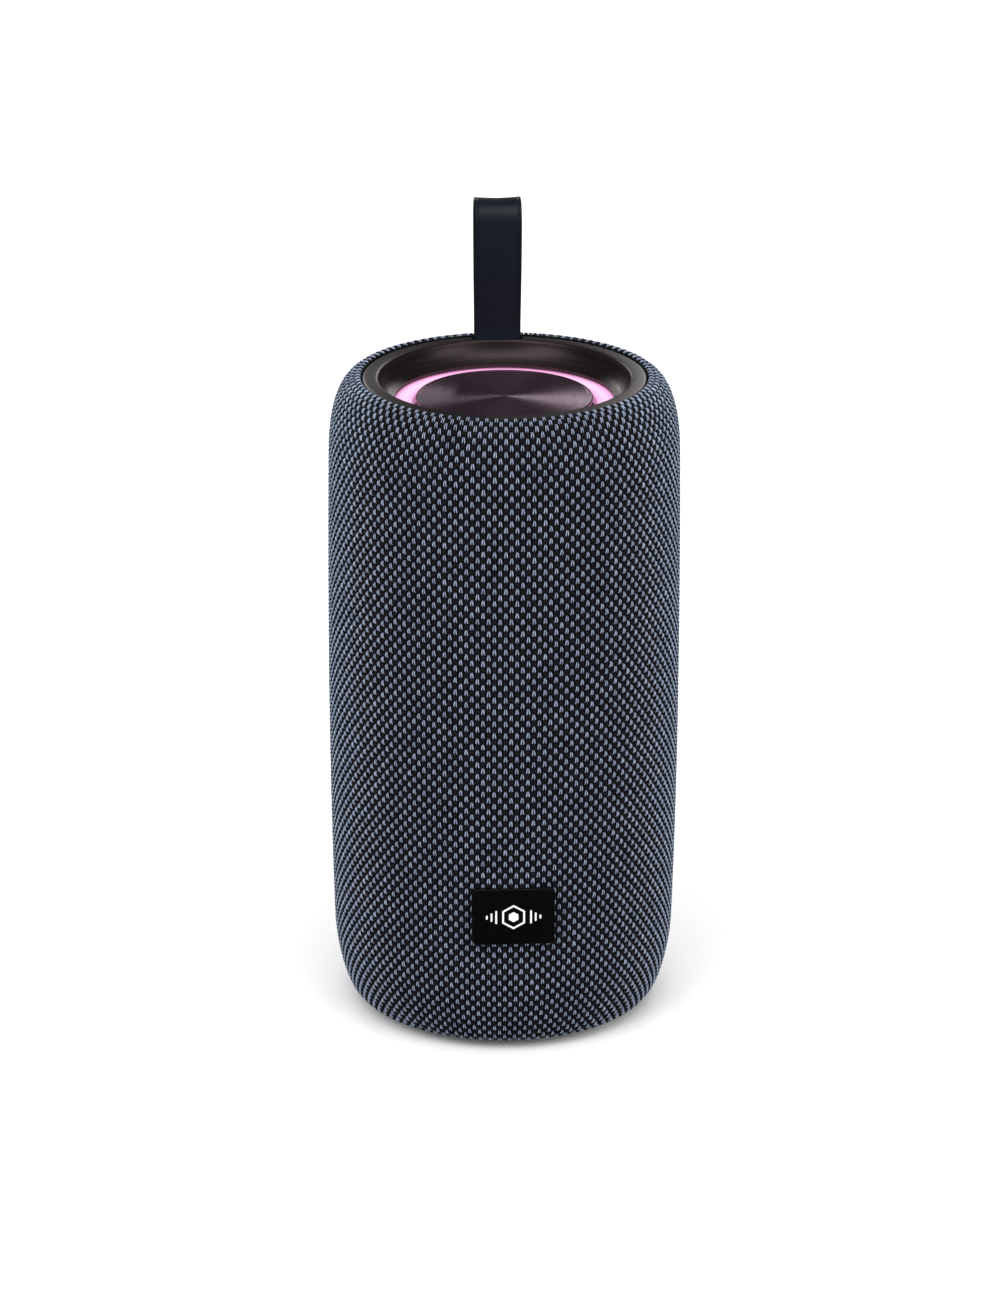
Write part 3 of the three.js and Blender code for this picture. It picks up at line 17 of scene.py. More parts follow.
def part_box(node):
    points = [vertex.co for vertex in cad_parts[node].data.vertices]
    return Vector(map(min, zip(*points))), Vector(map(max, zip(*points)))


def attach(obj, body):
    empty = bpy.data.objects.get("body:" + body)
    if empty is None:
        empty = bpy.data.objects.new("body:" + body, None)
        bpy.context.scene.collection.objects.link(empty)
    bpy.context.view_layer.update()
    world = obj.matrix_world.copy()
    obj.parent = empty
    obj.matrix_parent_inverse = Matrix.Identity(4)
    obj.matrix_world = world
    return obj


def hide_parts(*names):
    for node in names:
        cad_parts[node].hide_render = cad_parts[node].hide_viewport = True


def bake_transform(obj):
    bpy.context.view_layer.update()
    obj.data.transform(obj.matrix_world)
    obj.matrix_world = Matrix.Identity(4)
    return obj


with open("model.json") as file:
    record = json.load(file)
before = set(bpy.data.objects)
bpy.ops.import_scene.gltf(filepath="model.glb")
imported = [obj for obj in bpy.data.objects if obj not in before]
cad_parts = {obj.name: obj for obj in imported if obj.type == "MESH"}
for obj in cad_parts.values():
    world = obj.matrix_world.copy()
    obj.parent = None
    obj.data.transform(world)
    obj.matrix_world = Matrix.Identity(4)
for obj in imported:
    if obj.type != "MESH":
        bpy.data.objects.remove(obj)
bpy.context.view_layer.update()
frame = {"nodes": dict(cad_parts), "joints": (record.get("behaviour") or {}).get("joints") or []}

MM = 0.001
log = logging.getLogger("speaker")

Point2 = tuple[float, float]
Point3 = tuple[float, float, float]
Piece = bpy.types.Object
Tree = bpy.types.NodeTree
Node = bpy.types.Node
Socket = bpy.types.NodeSocket

X, Y, Z = range(3)


# ---------------------------------------------------------------- places in the CAD frame
def low(node: str, axis: int) -> float:
    """Lowest place of a CAD node along an axis, in mm."""
    return round(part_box(node)[0][axis] / MM, 2)


def high(node: str, axis: int) -> float:
    """Highest place of a CAD node along an axis, in mm."""
    return round(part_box(node)[1][axis] / MM, 2)


def middle(node: str, axis: int) -> float:
    """Middle of a CAD node along an axis, in mm."""
    return (low(node, axis) + high(node, axis)) / 2


def span(node: str, axis: int) -> float:
    """Size of a CAD node along an axis, in mm."""
    return round(high(node, axis) - low(node, axis), 2)


STRAP_PIVOT = [round(v / MM, 2) for v in next(j for j in frame["joints"] if j["name"] == "strap_bend")["pos_m"]]


# ---------------------------------------------------------------- shader helpers
def linear(colour: str) -> tuple[float, float, float, float]:
    """Linear RGBA of an sRGB hex colour such as "#4b566b"."""
    parts = [int(colour[i : i + 2], 16) / 255 for i in (1, 3, 5)]
    r, g, b = (c / 12.92 if c <= 0.04045 else ((c + 0.055) / 1.055) ** 2.4 for c in parts)
    return (r, g, b, 1.0)


def add(tree: Tree, kind: str, inputs: dict | None = None, **settings) -> Node:
    """Adds a node, sets its properties, and links or sets its inputs.

    Args:
        tree: the tree that gets the node.
        kind: the node's type name.
        inputs: socket name or index to a value or to another node's output.
        settings: properties of the node itself.

    Returns:
        The new node.
    """
    node = tree.nodes.new(kind)
    for name, value in settings.items():
        setattr(node, name, value)
    for key, value in (inputs or {}).items():
        if isinstance(value, Socket):
            tree.links.new(value, node.inputs[key])
        else:
            node.inputs[key].default_value = value
    return node


def calc(tree: Tree, operation: str, *values: Socket | float) -> Socket:
    """The result of a maths node."""
    return add(tree, "ShaderNodeMath", dict(enumerate(values)), operation=operation).outputs[0]


def vector(tree: Tree, operation: str, *values: Socket | Point3) -> Socket:
    """The result of a vector maths node."""
    node = add(tree, "ShaderNodeVectorMath", dict(enumerate(values)), operation=operation)
    return node.outputs["Value" if operation == "LENGTH" else "Vector"]


NOISE_RANGE = (0.3, 0.7)  # where most of a noise's values lie


@dataclass(frozen=True)
class Finish:
    """A finish: a real material with its own pattern, read from Object coordinates.

    Attributes:
        name: the real material's name.
        colour: base colour, sRGB hex.
        second: the colour of the pattern's other end, sRGB hex.
        roughness: roughness of the plain surface.
        metallic: 1 for bare metal.
        grain: size of the fine grain, in mm.
        relief: depth of the grain, in mm.
        specular: strength of the plain reflection; 0.5 is ordinary plastic.
    """

    name: str
    colour: str
    second: str
    roughness: float = 0.6
    metallic: float = 0.0
    grain: float = 0.4
    relief: float = 0.01
    specular: float = 0.5

    def material(self) -> bpy.types.Material:
        """The finish's material, made once."""
        found = bpy.data.materials.get(self.name)
        if found:
            return found
        material = bpy.data.materials.new(self.name)
        material.use_nodes = True
        tree = material.node_tree
        tree.nodes.clear()
        plain = {"Roughness": self.roughness, "Metallic": self.metallic, "Specular IOR Level": self.specular}
        shader = add(tree, "ShaderNodeBsdfPrincipled", plain)
        self.pattern(tree, shader, add(tree, "ShaderNodeTexCoord").outputs["Object"])
        add(tree, "ShaderNodeOutputMaterial", {"Surface": shader.outputs["BSDF"]})
        return material

    def pattern(self, tree: Tree, shader: Node, place: Socket) -> None:
        """Fine grain: a two-colour mottle, a small change of gloss and a shallow relief."""
        grain = self.noise(tree, place, self.grain, detail=3)
        self.tint(tree, shader, grain)
        self.gloss(tree, shader, self.noise(tree, place, self.grain * 9, detail=2))
        self.emboss(tree, shader, grain)

    def noise(self, tree: Tree, place: Socket, size: float, detail: int, stretch: Point3 = (1, 1, 1)) -> Socket:
        """Noise with features of the given size in mm; stretch scales each axis first."""
        if stretch != (1, 1, 1):
            place = vector(tree, "MULTIPLY", place, stretch)
        inputs = {"Vector": place, "Scale": 1 / (size * MM), "Detail": detail}
        return add(tree, "ShaderNodeTexNoise", inputs).outputs["Fac"]

    def mix(self, tree: Tree, share: Socket, first: str, second: str) -> Socket:
        """A colour between two sRGB hex colours."""
        ramp = add(tree, "ShaderNodeValToRGB", {"Fac": share})
        for element, position, colour in zip(ramp.color_ramp.elements, NOISE_RANGE, (first, second)):
            element.position = position
            element.color = linear(colour)
        return ramp.outputs["Color"]

    def tint(self, tree: Tree, shader: Node, share: Socket) -> None:
        """Colours the surface between the finish's two colours."""
        tree.links.new(self.mix(tree, share, self.colour, self.second), shader.inputs["Base Color"])

    def gloss(self, tree: Tree, shader: Node, share: Socket, swing: float = 0.12) -> None:
        """Moves the roughness a little either side of its plain value."""
        least, most = max(self.roughness - swing / 2, 0.02), min(self.roughness + swing / 2, 1)
        start, end = NOISE_RANGE
        inputs = {"Value": share, "From Min": start, "From Max": end, "To Min": least, "To Max": most}
        tree.links.new(add(tree, "ShaderNodeMapRange", inputs).outputs["Result"], shader.inputs["Roughness"])

    def emboss(self, tree: Tree, shader: Node, height: Socket) -> None:
        """Gives the surface the finish's relief."""
        inputs = {"Height": height, "Distance": self.relief * MM, "Strength": 1.0}
        tree.links.new(add(tree, "ShaderNodeBump", inputs).outputs["Normal"], shader.inputs["Normal"])


@dataclass(frozen=True)
class YarnFinish(Finish):
    """Textured polyester yarn: fine filaments, a faint sheen and a slight shade from loop to loop."""

    def pattern(self, tree: Tree, shader: Node, place: Socket) -> None:
        """Filaments along the yarn, over a change of shade about one stitch wide."""
        filaments = self.noise(tree, place, self.grain, detail=2, stretch=(1, 1, 0.35))
        loops = self.noise(tree, place, 2.2, detail=1)
        self.tint(tree, shader, calc(tree, "MULTIPLY", calc(tree, "ADD", filaments, loops), 0.5))
        self.emboss(tree, shader, filaments)
        shader.inputs["Sheen Weight"].default_value = 0.03
        shader.inputs["Sheen Roughness"].default_value = 0.4


@dataclass(frozen=True)
class BrushedFinish(Finish):
    """Metal brushed in circles about the Z axis, which draws light out into radial streaks."""

    groove: float = 0.12
    stretch: float = 0.85

    def pattern(self, tree: Tree, shader: Node, place: Socket) -> None:
        """Concentric grooves, with the highlight stretched across them."""
        flat = vector(tree, "MULTIPLY", place, (1, 1, 0))
        along = add(tree, "ShaderNodeCombineXYZ", {"X": vector(tree, "LENGTH", flat)})
        grooves = self.noise(tree, along.outputs["Vector"], self.groove, detail=3)
        self.tint(tree, shader, grooves)
        self.gloss(tree, shader, grooves)
        self.emboss(tree, shader, grooves)
        tree.links.new(vector(tree, "NORMALIZE", flat), shader.inputs["Tangent"])
        shader.inputs["Anisotropic"].default_value = self.stretch


@dataclass(frozen=True)
class GlowFinish(Finish):
    """A milky diffuser lit from under, brightest midway across its width."""

    strength: float = 1.0
    middle: float = 23.7
    width: float = 4.2

    def pattern(self, tree: Tree, shader: Node, place: Socket) -> None:
        """Light that falls off towards both edges of the ring, with a faint unevenness."""
        radius = vector(tree, "LENGTH", vector(tree, "MULTIPLY", place, (1, 1, 0)))
        apart = calc(tree, "ABSOLUTE", calc(tree, "SUBTRACT", radius, self.middle * MM))
        inputs = {"Value": apart, "From Max": self.width / 2 * MM, "To Min": 0.5, "To Max": 0.2}
        share = add(tree, "ShaderNodeMapRange", inputs).outputs["Result"]
        uneven = self.noise(tree, place, 9, detail=1)
        colour = self.mix(tree, calc(tree, "MULTIPLY_ADD", uneven, 0.25, share), self.second, self.colour)
        tree.links.new(colour, shader.inputs["Base Color"])
        tree.links.new(colour, shader.inputs["Emission Color"])
        shader.inputs["Emission Strength"].default_value = self.strength


@dataclass(frozen=True)
class BoardFinish(Finish):
    """Circuit board: solder mask over copper tracks."""

    def pattern(self, tree: Tree, shader: Node, place: Socket) -> None:
        """Tracks on a square grid, some of them broken."""
        inputs = {"Vector": place, "Scale": 1 / (self.grain * MM), "Randomness": 0.0}
        cells = add(tree, "ShaderNodeTexVoronoi", inputs, distance="CHEBYCHEV", feature="F1")
        self.tint(tree, shader, cells.outputs["Distance"])
        self.emboss(tree, shader, cells.outputs["Distance"])


@dataclass(frozen=True)
class WoundFinish(Finish):
    """Fine wire or corrugation laid in even turns along one axis."""

    axis: int = 1

    def pattern(self, tree: Tree, shader: Node, place: Socket) -> None:
        """Even turns, one grain apart."""
        split = add(tree, "ShaderNodeSeparateXYZ", {"Vector": place})
        turns = calc(tree, "MULTIPLY", split.outputs[self.axis], 2 * math.pi / (self.grain * MM))
        inputs = {"Value": calc(tree, "SINE", turns), "From Min": -1.0, "From Max": 1.0}
        share = add(tree, "ShaderNodeMapRange", inputs).outputs["Result"]
        self.tint(tree, shader, share)
        self.emboss(tree, shader, share)


# Yarn of the sleeve: a slate-blue marl and a near-black one, knitted turn about.
LIGHT_YARN = YarnFinish("Polyester yarn, slate", "#66758d", "#aab7ce", 0.65, grain=0.14, relief=0.03)
DARK_YARN = YarnFinish("Polyester yarn, black", "#111217", "#1f2024", 0.8, grain=0.14, relief=0.03, specular=0.2)
# Floats and backing behind the stitches, always in shade: black, and coloured darker than the black yarn, so its
# colour also paints the shade in the gaps between the stitches.
SHADED_BACKING = YarnFinish("Knit backing, black with painted shade", "#04060b", "#0a0d15", 0.95, grain=0.3, relief=0.05, specular=0.2)
# Moulded lip and bowl, sprayed with a warm metallic lacquer and brushed in circles.
LACQUER = BrushedFinish(
    "Brushed metallic lacquer", "#372f31", "#423839", 0.42, 0.8, relief=0.0004, groove=0.5, stretch=0.5
)
# Opal diffuser over the pink lamps.
DIFFUSER = GlowFinish("Lit opal diffuser", "#f6bcdd", "#dc92c2", 0.5, strength=0.62, specular=0.3)
# Anodised aluminium disc.
BRUSHED = BrushedFinish("Brushed anodised aluminium", "#694b5f", "#886d80", 0.28, 0.9, relief=0.002)
# Strap: fine-grained silicone skin.
STRAP_SKIN = Finish("Fine-grained silicone", "#0c131a", "#131c26", 0.45, grain=0.25, relief=0.008, specular=0.25)
BADGE_BLACK = Finish("Satin black polycarbonate", "#050506", "#08080a", 0.35, grain=0.5, relief=0.002, specular=0.2)
PRINT_WHITE = Finish("White pad print", "#e4e4e4", "#f4f4f4", 0.5, grain=0.3, relief=0.003)
SILICONE = Finish("Matt silicone", "#17191d", "#1f2126", 0.7, grain=0.3, relief=0.012)
PLASTIC = Finish("Spark-eroded ABS", "#1d1f23", "#292b30", 0.6, grain=0.35, relief=0.02)
RUBBER = Finish("Moulded rubber", "#121316", "#1b1c1f", 0.85, grain=0.25, relief=0.02)
STEEL = Finish("Zinc-plated steel", "#a2a5aa", "#b8bbc0", 0.32, 1.0, grain=0.2, relief=0.004)
PAPER = Finish("Pressed paper pulp", "#1f1e1c", "#36342f", 0.9, grain=0.5, relief=0.04)
BOARD = BoardFinish("Green circuit board", "#173d2e", "#2c6148", 0.5, grain=0.9, relief=0.02)
SOCKET = Finish("Black socket nylon", "#0b0b0c", "#121214", 0.35, grain=0.4, relief=0.006)
FERRITE = Finish("Sintered ferrite", "#303032", "#444447", 0.7, 0.1, grain=0.3, relief=0.02)
COPPER = WoundFinish("Enamelled copper winding", "#7a4522", "#c47d45", 0.35, 0.9, grain=0.25, relief=0.05)
WRAP = Finish("Heat-shrunk PVC sleeve", "#245c9a", "#3474b4", 0.35, grain=1.2, relief=0.02)
WIRE = Finish("PVC wire insulation", "#8d2222", "#ac3030", 0.45, grain=0.5, relief=0.01)


# ---------------------------------------------------------------- mesh helpers
SHARP = math.radians(32)
REAR_CUT: Point2 = (30, 44)


def settled(piece: Piece, slot: str, body: str, *nodes: str) -> Piece:
    """Gives a piece its body, and lets it stand for CAD nodes."""
    if nodes:
        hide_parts(*nodes)
    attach(piece, body)
    return piece


def sweep(start: float, end: float, steps: int) -> list[float]:
    """Evenly spaced values from start to end, both included."""
    return [start + (end - start) * i / steps for i in range(steps + 1)]


def circle(radius: float, count: int, start: float = 0.0, x: float = 0.0, y: float = 0.0) -> list[Point2]:
    """Points round a circle."""
    angles = [start + 2 * math.pi * i / count for i in range(count)]
    return [(x + radius * math.cos(a), y + radius * math.sin(a)) for a in angles]


def bend(start: Vector, control: Vector, end: Vector, steps: int) -> list[Point2]:
    """Points along a quadratic curve."""
    points = [start * (1 - t) ** 2 + control * 2 * t * (1 - t) + end * t**2 for t in sweep(0, 1, steps)]
    return [(p.x, p.y) for p in points]


def smoothed(obj: Piece, angle: float = SHARP) -> Piece:
    """Smooth shading, with edges over the angle kept sharp."""
    obj.data.shade_smooth()
    obj.data.set_sharp_from_angle(angle=angle)
    return obj


def linked(name: str, data: bpy.types.ID) -> Piece:
    """A new object in the scene."""
    obj = bpy.data.objects.new(name, data)
    bpy.context.scene.collection.objects.link(obj)
    return obj


def mesh_object(name: str, points: list[Point3], faces: list[tuple], finish: Finish) -> Piece:
    """A closed mesh from points in mm, facing outwards."""
    mesh = bpy.data.meshes.new(name)
    mesh.from_pydata([Vector(p) * MM for p in points], [], faces)
    work = bmesh.new()
    work.from_mesh(mesh)
    bmesh.ops.recalc_face_normals(work, faces=work.faces)
    work.to_mesh(mesh)
    work.free()
    mesh.materials.append(finish.material())
    return smoothed(linked(name, mesh))


def skinned(name: str, loops: list[list[Point3]], finish: Finish, closed: bool = False) -> Piece:
    """A solid through loops of points; a loop of one point is a pole.

    Args:
        name: the piece's name.
        loops: loops from one end to the other, all of the same length or of one point.
        finish: its finish.
        closed: joins the last loop to the first; otherwise open ends are capped.
    """
    points: list[Point3] = []
    rows: list[list[int]] = []
    for loop in loops:
        rows.append(list(range(len(points), len(points) + len(loop))))
        points.extend(loop)
    faces: list[tuple] = []
    pairs = list(zip(rows, rows[1:])) + ([(rows[-1], rows[0])] if closed else [])
    for this, that in pairs:
        count = max(len(this), len(that))
        for i in range(count if count > 1 else 0):
            j = (i + 1) % count
            if len(this) == 1:
                faces.append((this[0], that[j], that[i]))
            elif len(that) == 1:
                faces.append((this[i], this[j], that[0]))
            else:
                faces.append((this[i], this[j], that[j], that[i]))
    if not closed:
        faces.extend(tuple(row) for row in (rows[0], rows[-1]) if len(row) > 2)
    return mesh_object(name, points, faces, finish)


def turned(name: str, section: list[Point2], finish: Finish, sides: int = 192) -> Piece:
    """A piece turned about Z from its closed half section of (radius, height) points."""
    loops = [[(x, y, z) for x, y in circle(r, sides)] if r > 1e-6 else [(0.0, 0.0, z)] for r, z in section]
    poles = [i for i, loop in enumerate(loops) if len(loop) == 1]
    if poles:
        loops = loops[poles[-1] :] + loops[: poles[-1]] if poles[-1] - poles[0] == 1 else loops
    return skinned(name, loops, finish, closed=not poles)


def eased(corners: list[tuple[float, float, float]], steps: int = 4) -> list[Point2]:
    """Rounds the corners of a closed outline.

    Args:
        corners: (x, y, radius) round the outline; a radius of 0 leaves the corner.
        steps: pieces in each rounded corner.
    """
    outline: list[Point2] = []
    for i, (x, y, radius) in enumerate(corners):
        here = Vector((x, y))
        if radius <= 0:
            outline.append((x, y))
            continue
        before = Vector(corners[i - 1][:2]) - here
        after = Vector(corners[(i + 1) % len(corners)][:2]) - here
        reach = radius / math.tan(before.angle(after) / 2)
        start = here + before.normalized() * min(reach, before.length * 0.48)
        end = here + after.normalized() * min(reach, after.length * 0.48)
        outline += bend(start, here, end, steps)
    return outline


def rounded_rect(width: float, height: float, corner: float, x: float, y: float, steps: int = 8) -> list[Point2]:
    """A rounded rectangle about (x, y), anticlockwise."""
    outline = []
    for i, (sx, sy) in enumerate(((1, -1), (1, 1), (-1, 1), (-1, -1))):
        cx, cy = x + sx * (width / 2 - corner), y + sy * (height / 2 - corner)
        for angle in sweep(math.pi / 2 * (i - 1), math.pi / 2 * i, steps):
            outline.append((cx + corner * math.cos(angle), cy + corner * math.sin(angle)))
    return outline


@dataclass(frozen=True)
class Slab:
    """A rounded rectangle drawn in X and Z and made solid in Y, its middle at height z."""

    width: float
    height: float
    corner: float
    z: float
    x: float = 0.0

    def loop(self, y: float, inset: float = 0.0) -> list[Point3]:
        """The outline at a depth, moved inwards."""
        width, height = self.width - 2 * inset, self.height - 2 * inset
        shrunk = rounded_rect(width, height, max(self.corner - inset, 0.05), self.x, self.z)
        return [(px, y, pz) for px, pz in shrunk]

    def grown(self, amount: float) -> "Slab":
        """The outline moved outwards all round."""
        return Slab(self.width + 2 * amount, self.height + 2 * amount, self.corner + amount, self.z, self.x)

    def solid(self, name: str, layers: list[Point2], finish: Finish) -> Piece:
        """The slab through (y, inset) layers."""
        return skinned(name, [self.loop(y, inset) for y, inset in layers], finish)

    def punch(self) -> Piece:
        """A tool that cuts the outline through the rear wall."""
        return self.solid("tool", [(y, 0) for y in REAR_CUT], PLASTIC)


def edged(back: float, front: float, ease: float, steps: int = 4) -> list[Point2]:
    """Slab layers from back to front whose front edge is rounded by ease."""
    side = 1 if front > back else -1
    arc = sweep(0, math.pi / 2, steps)
    return [(back, 0.0)] + [(front - side * ease * (1 - math.sin(a)), ease * (1 - math.cos(a))) for a in arc]


def shaped(obj: Piece, tools: list[Piece], operation: str = "DIFFERENCE") -> Piece:
    """Cuts the tools from obj, or joins them to it, and leaves a plain mesh."""
    for tool in tools:
        modifier = obj.modifiers.new("Shape", "BOOLEAN")
        modifier.operation = operation
        modifier.solver = "EXACT"
        modifier.object = tool
    obj.data = baked(obj)
    for tool in tools:
        bpy.data.objects.remove(tool)
    return smoothed(obj)


def baked(obj: Piece) -> bpy.types.Mesh:
    """The object's mesh with its modifiers made real, which are then removed."""
    graph = bpy.context.evaluated_depsgraph_get()
    mesh = bpy.data.meshes.new_from_object(obj.evaluated_get(graph))
    obj.modifiers.clear()
    return mesh


def rod(radius: float, x: float, y: float, z0: float, z1: float, sides: int = 32) -> Piece:
    """A plain upright cylinder, used as a tool."""
    outline = circle(radius, sides, 0.0, x, y)
    return skinned("tool", [[(px, py, z) for px, py in outline] for z in (z0, z1)], PLASTIC)


def block(x: Point2, y: Point2, z: Point2) -> Piece:
    """A plain box, used as a tool."""
    loops = [[(x[0], y[0], h), (x[1], y[0], h), (x[1], y[1], h), (x[0], y[1], h)] for h in z]
    return skinned("tool", loops, PLASTIC)


def joined(name: str, pieces: list[Piece]) -> Piece:
    """One object from several that don't touch."""
    work = bmesh.new()
    for piece in pieces:
        work.from_mesh(piece.data)
    mesh = bpy.data.meshes.new(name)
    work.to_mesh(mesh)
    work.free()
    mesh.materials.append(pieces[0].data.materials[0])
    for piece in pieces:
        bpy.data.objects.remove(piece)
    return smoothed(linked(name, mesh))


# ---------------------------------------------------------------- geometry nodes
class Scatter:
    """A Geometry Nodes tree that puts a small mesh on each point of another.

    Each point carries its turn (Euler angles) and its stretch; the tree adds a small seeded jitter,
    makes the copies real and gives them their material.
    """

    SEED = 7

    def __init__(self, name: str) -> None:
        """Builds the tree and its named inputs."""
        self.tree = tree = bpy.data.node_groups.new(name, "GeometryNodeTree")
        sockets = {
            "Geometry": "NodeSocketGeometry",
            "Piece": "NodeSocketObject",
            "Finish": "NodeSocketMaterial",
            "Seed": "NodeSocketInt",
            "Tilt": "NodeSocketFloat",
            "Size Change": "NodeSocketFloat",
        }
        for label, kind in sockets.items():
            tree.interface.new_socket(label, in_out="INPUT", socket_type=kind)
        tree.interface.new_socket("Geometry", in_out="OUTPUT", socket_type="NodeSocketGeometry")
        given = add(tree, "NodeGroupInput").outputs
        turn = add(tree, "GeometryNodeInputNamedAttribute", {"Name": "turn"}, data_type="FLOAT_VECTOR")
        stretch = add(tree, "GeometryNodeInputNamedAttribute", {"Name": "stretch"}, data_type="FLOAT_VECTOR")
        tilts = {0: calc(tree, "MULTIPLY", given["Tilt"], -1.0), 1: given["Tilt"], "Seed": given["Seed"]}
        tilt = add(tree, "FunctionNodeRandomValue", tilts, data_type="FLOAT_VECTOR")
        spin = add(tree, "FunctionNodeEulerToRotation", {0: vector(tree, "ADD", turn.outputs[0], tilt.outputs[0])})
        small, large = (calc(tree, way, 1.0, given["Size Change"]) for way in ("SUBTRACT", "ADD"))
        change = add(tree, "FunctionNodeRandomValue", {2: small, 3: large, "Seed": given["Seed"]}, data_type="FLOAT")
        scaled = {0: stretch.outputs[0], "Scale": change.outputs[1]}
        size = add(tree, "ShaderNodeVectorMath", scaled, operation="SCALE")
        piece = add(tree, "GeometryNodeObjectInfo", {"Object": given["Piece"]})
        spread = {
            "Points": given["Geometry"],
            "Instance": piece.outputs["Geometry"],
            "Rotation": spin.outputs[0],
            "Scale": size.outputs["Vector"],
        }
        copies = add(tree, "GeometryNodeInstanceOnPoints", spread)
        real = add(tree, "GeometryNodeRealizeInstances", {"Geometry": copies.outputs[0]})
        finished = add(tree, "GeometryNodeSetMaterial", {"Geometry": real.outputs[0], "Material": given["Finish"]})
        add(tree, "NodeGroupOutput", {"Geometry": finished.outputs[0]})

    def place(
        self,
        name: str,
        piece: Piece,
        spots: list[tuple[Point3, Point3, Point3]],
        finish: Finish,
        tilt: float = 0.0,
        change: float = 0.0,
    ) -> Piece:
        """Copies of a piece as one plain mesh.

        Args:
            name: the finished piece's name.
            piece: what is copied.
            spots: place in mm, Euler turn and stretch of each copy.
            finish: the finish of all of them.
            tilt: largest random turn, in radians.
            change: largest random change of size, as a share.

        Returns:
            The object, with no modifier left on it.
        """
        mesh = bpy.data.meshes.new(name)
        mesh.from_pydata([Vector(place) * MM for place, _, _ in spots], [], [])
        for label, index in (("turn", 1), ("stretch", 2)):
            attribute = mesh.attributes.new(label, "FLOAT_VECTOR", "POINT")
            attribute.data.foreach_set("vector", [v for spot in spots for v in spot[index]])
        obj = linked(name, mesh)
        modifier = obj.modifiers.new("Copies", "NODES")
        modifier.node_group = self.tree
        values = {"Piece": piece, "Finish": finish.material(), "Seed": self.SEED, "Tilt": tilt, "Size Change": change}
        for item in self.tree.interface.items_tree:
            if item.in_out == "INPUT" and item.name in values:
                modifier[item.identifier] = values[item.name]
        obj.data = baked(obj)
        for label in ("turn", "stretch"):
            if label in obj.data.attributes:
                obj.data.attributes.remove(obj.data.attributes[label])
        return smoothed(obj, math.pi)


# ---------------------------------------------------------------- barrel outline
@dataclass(frozen=True)
class Barrel:
    """The sleeve's outline: a slightly barrelled side between a rounded heel and shoulder."""

    radius: float = high("fabric_sleeve", X)
    height: float = span("fabric_sleeve", Z)
    foot: float = low("fabric_sleeve", Z)
    widest: float = 0.48
    top_taper: float = 0.023
    bottom_taper: float = 0.032
    shoulder: float = 18.4
    shoulder_power: float = 2.34
    heel: float = 18.0
    heel_power: float = 1.75
    heel_flat: float = 35.9
    top_flat: float = 33.7
    hem: float = 33.9

    def side(self, height: float) -> float:
        """Radius of the side at a height above the sleeve's lower edge."""
        share = height / self.height - self.widest
        drop, reach = (self.top_taper, 1 - self.widest) if share > 0 else (self.bottom_taper, self.widest)
        return self.radius * (1 - drop * (share / reach) ** 2)

    def outline(self, inset: float = 0.0, steps: int = 28) -> list[Point2]:
        """(radius, height) points from the heel's flat edge to the lip, moved inwards."""
        points = []
        for t in sweep(0, math.pi / 2, steps):
            height = inset + (self.heel - inset) * (1 - abs(math.cos(t)) ** (2 / self.heel_power))
            reach = self.side(height) - inset - self.heel_flat
            points.append((self.heel_flat + reach * math.sin(t) ** (2 / self.heel_power), self.foot + height))
        for height in sweep(self.heel, self.height - self.shoulder, steps)[1:-1]:
            points.append((self.side(height) - inset, self.foot + height))
        for t in sweep(math.pi / 2, 0, steps):
            drop = inset + (self.shoulder - inset) * (1 - abs(math.cos(t)) ** (2 / self.shoulder_power))
            height = self.height - drop
            reach = self.side(height) - inset - self.top_flat
            share = max(math.sin(t), 0) ** (2 / self.shoulder_power)
            points.append((self.top_flat + reach * share, self.foot + height))
        return points


BARREL = Barrel()


# ---------------------------------------------------------------- sleeve
@dataclass(frozen=True)
class KnitSizes:
    """The knit: rows of upturned V stitches, light and dark turn about."""

    wales: int = 200
    course: float = 1.48
    depth: float = 0.36
    sectors: int = 4
    tilt: float = 0.05
    change: float = 0.04


@dataclass(frozen=True)
class Opening:
    """A rounded rectangle left free of stitches on the front (-1) or rear (1) of the barrel."""

    slab: Slab
    side: int

    def holds(self, x: float, y: float, z: float, margin: float) -> bool:
        """Whether a stitch at a point would lie in the opening."""
        if y * self.side <= 0:
            return False
        across = abs(x - self.slab.x) - (self.slab.width / 2 - self.slab.corner)
        along = abs(z - self.slab.z) - (self.slab.height / 2 - self.slab.corner)
        if max(across, along) <= 0:
            return True
        return math.hypot(max(across, 0), max(along, 0)) <= self.slab.corner + margin


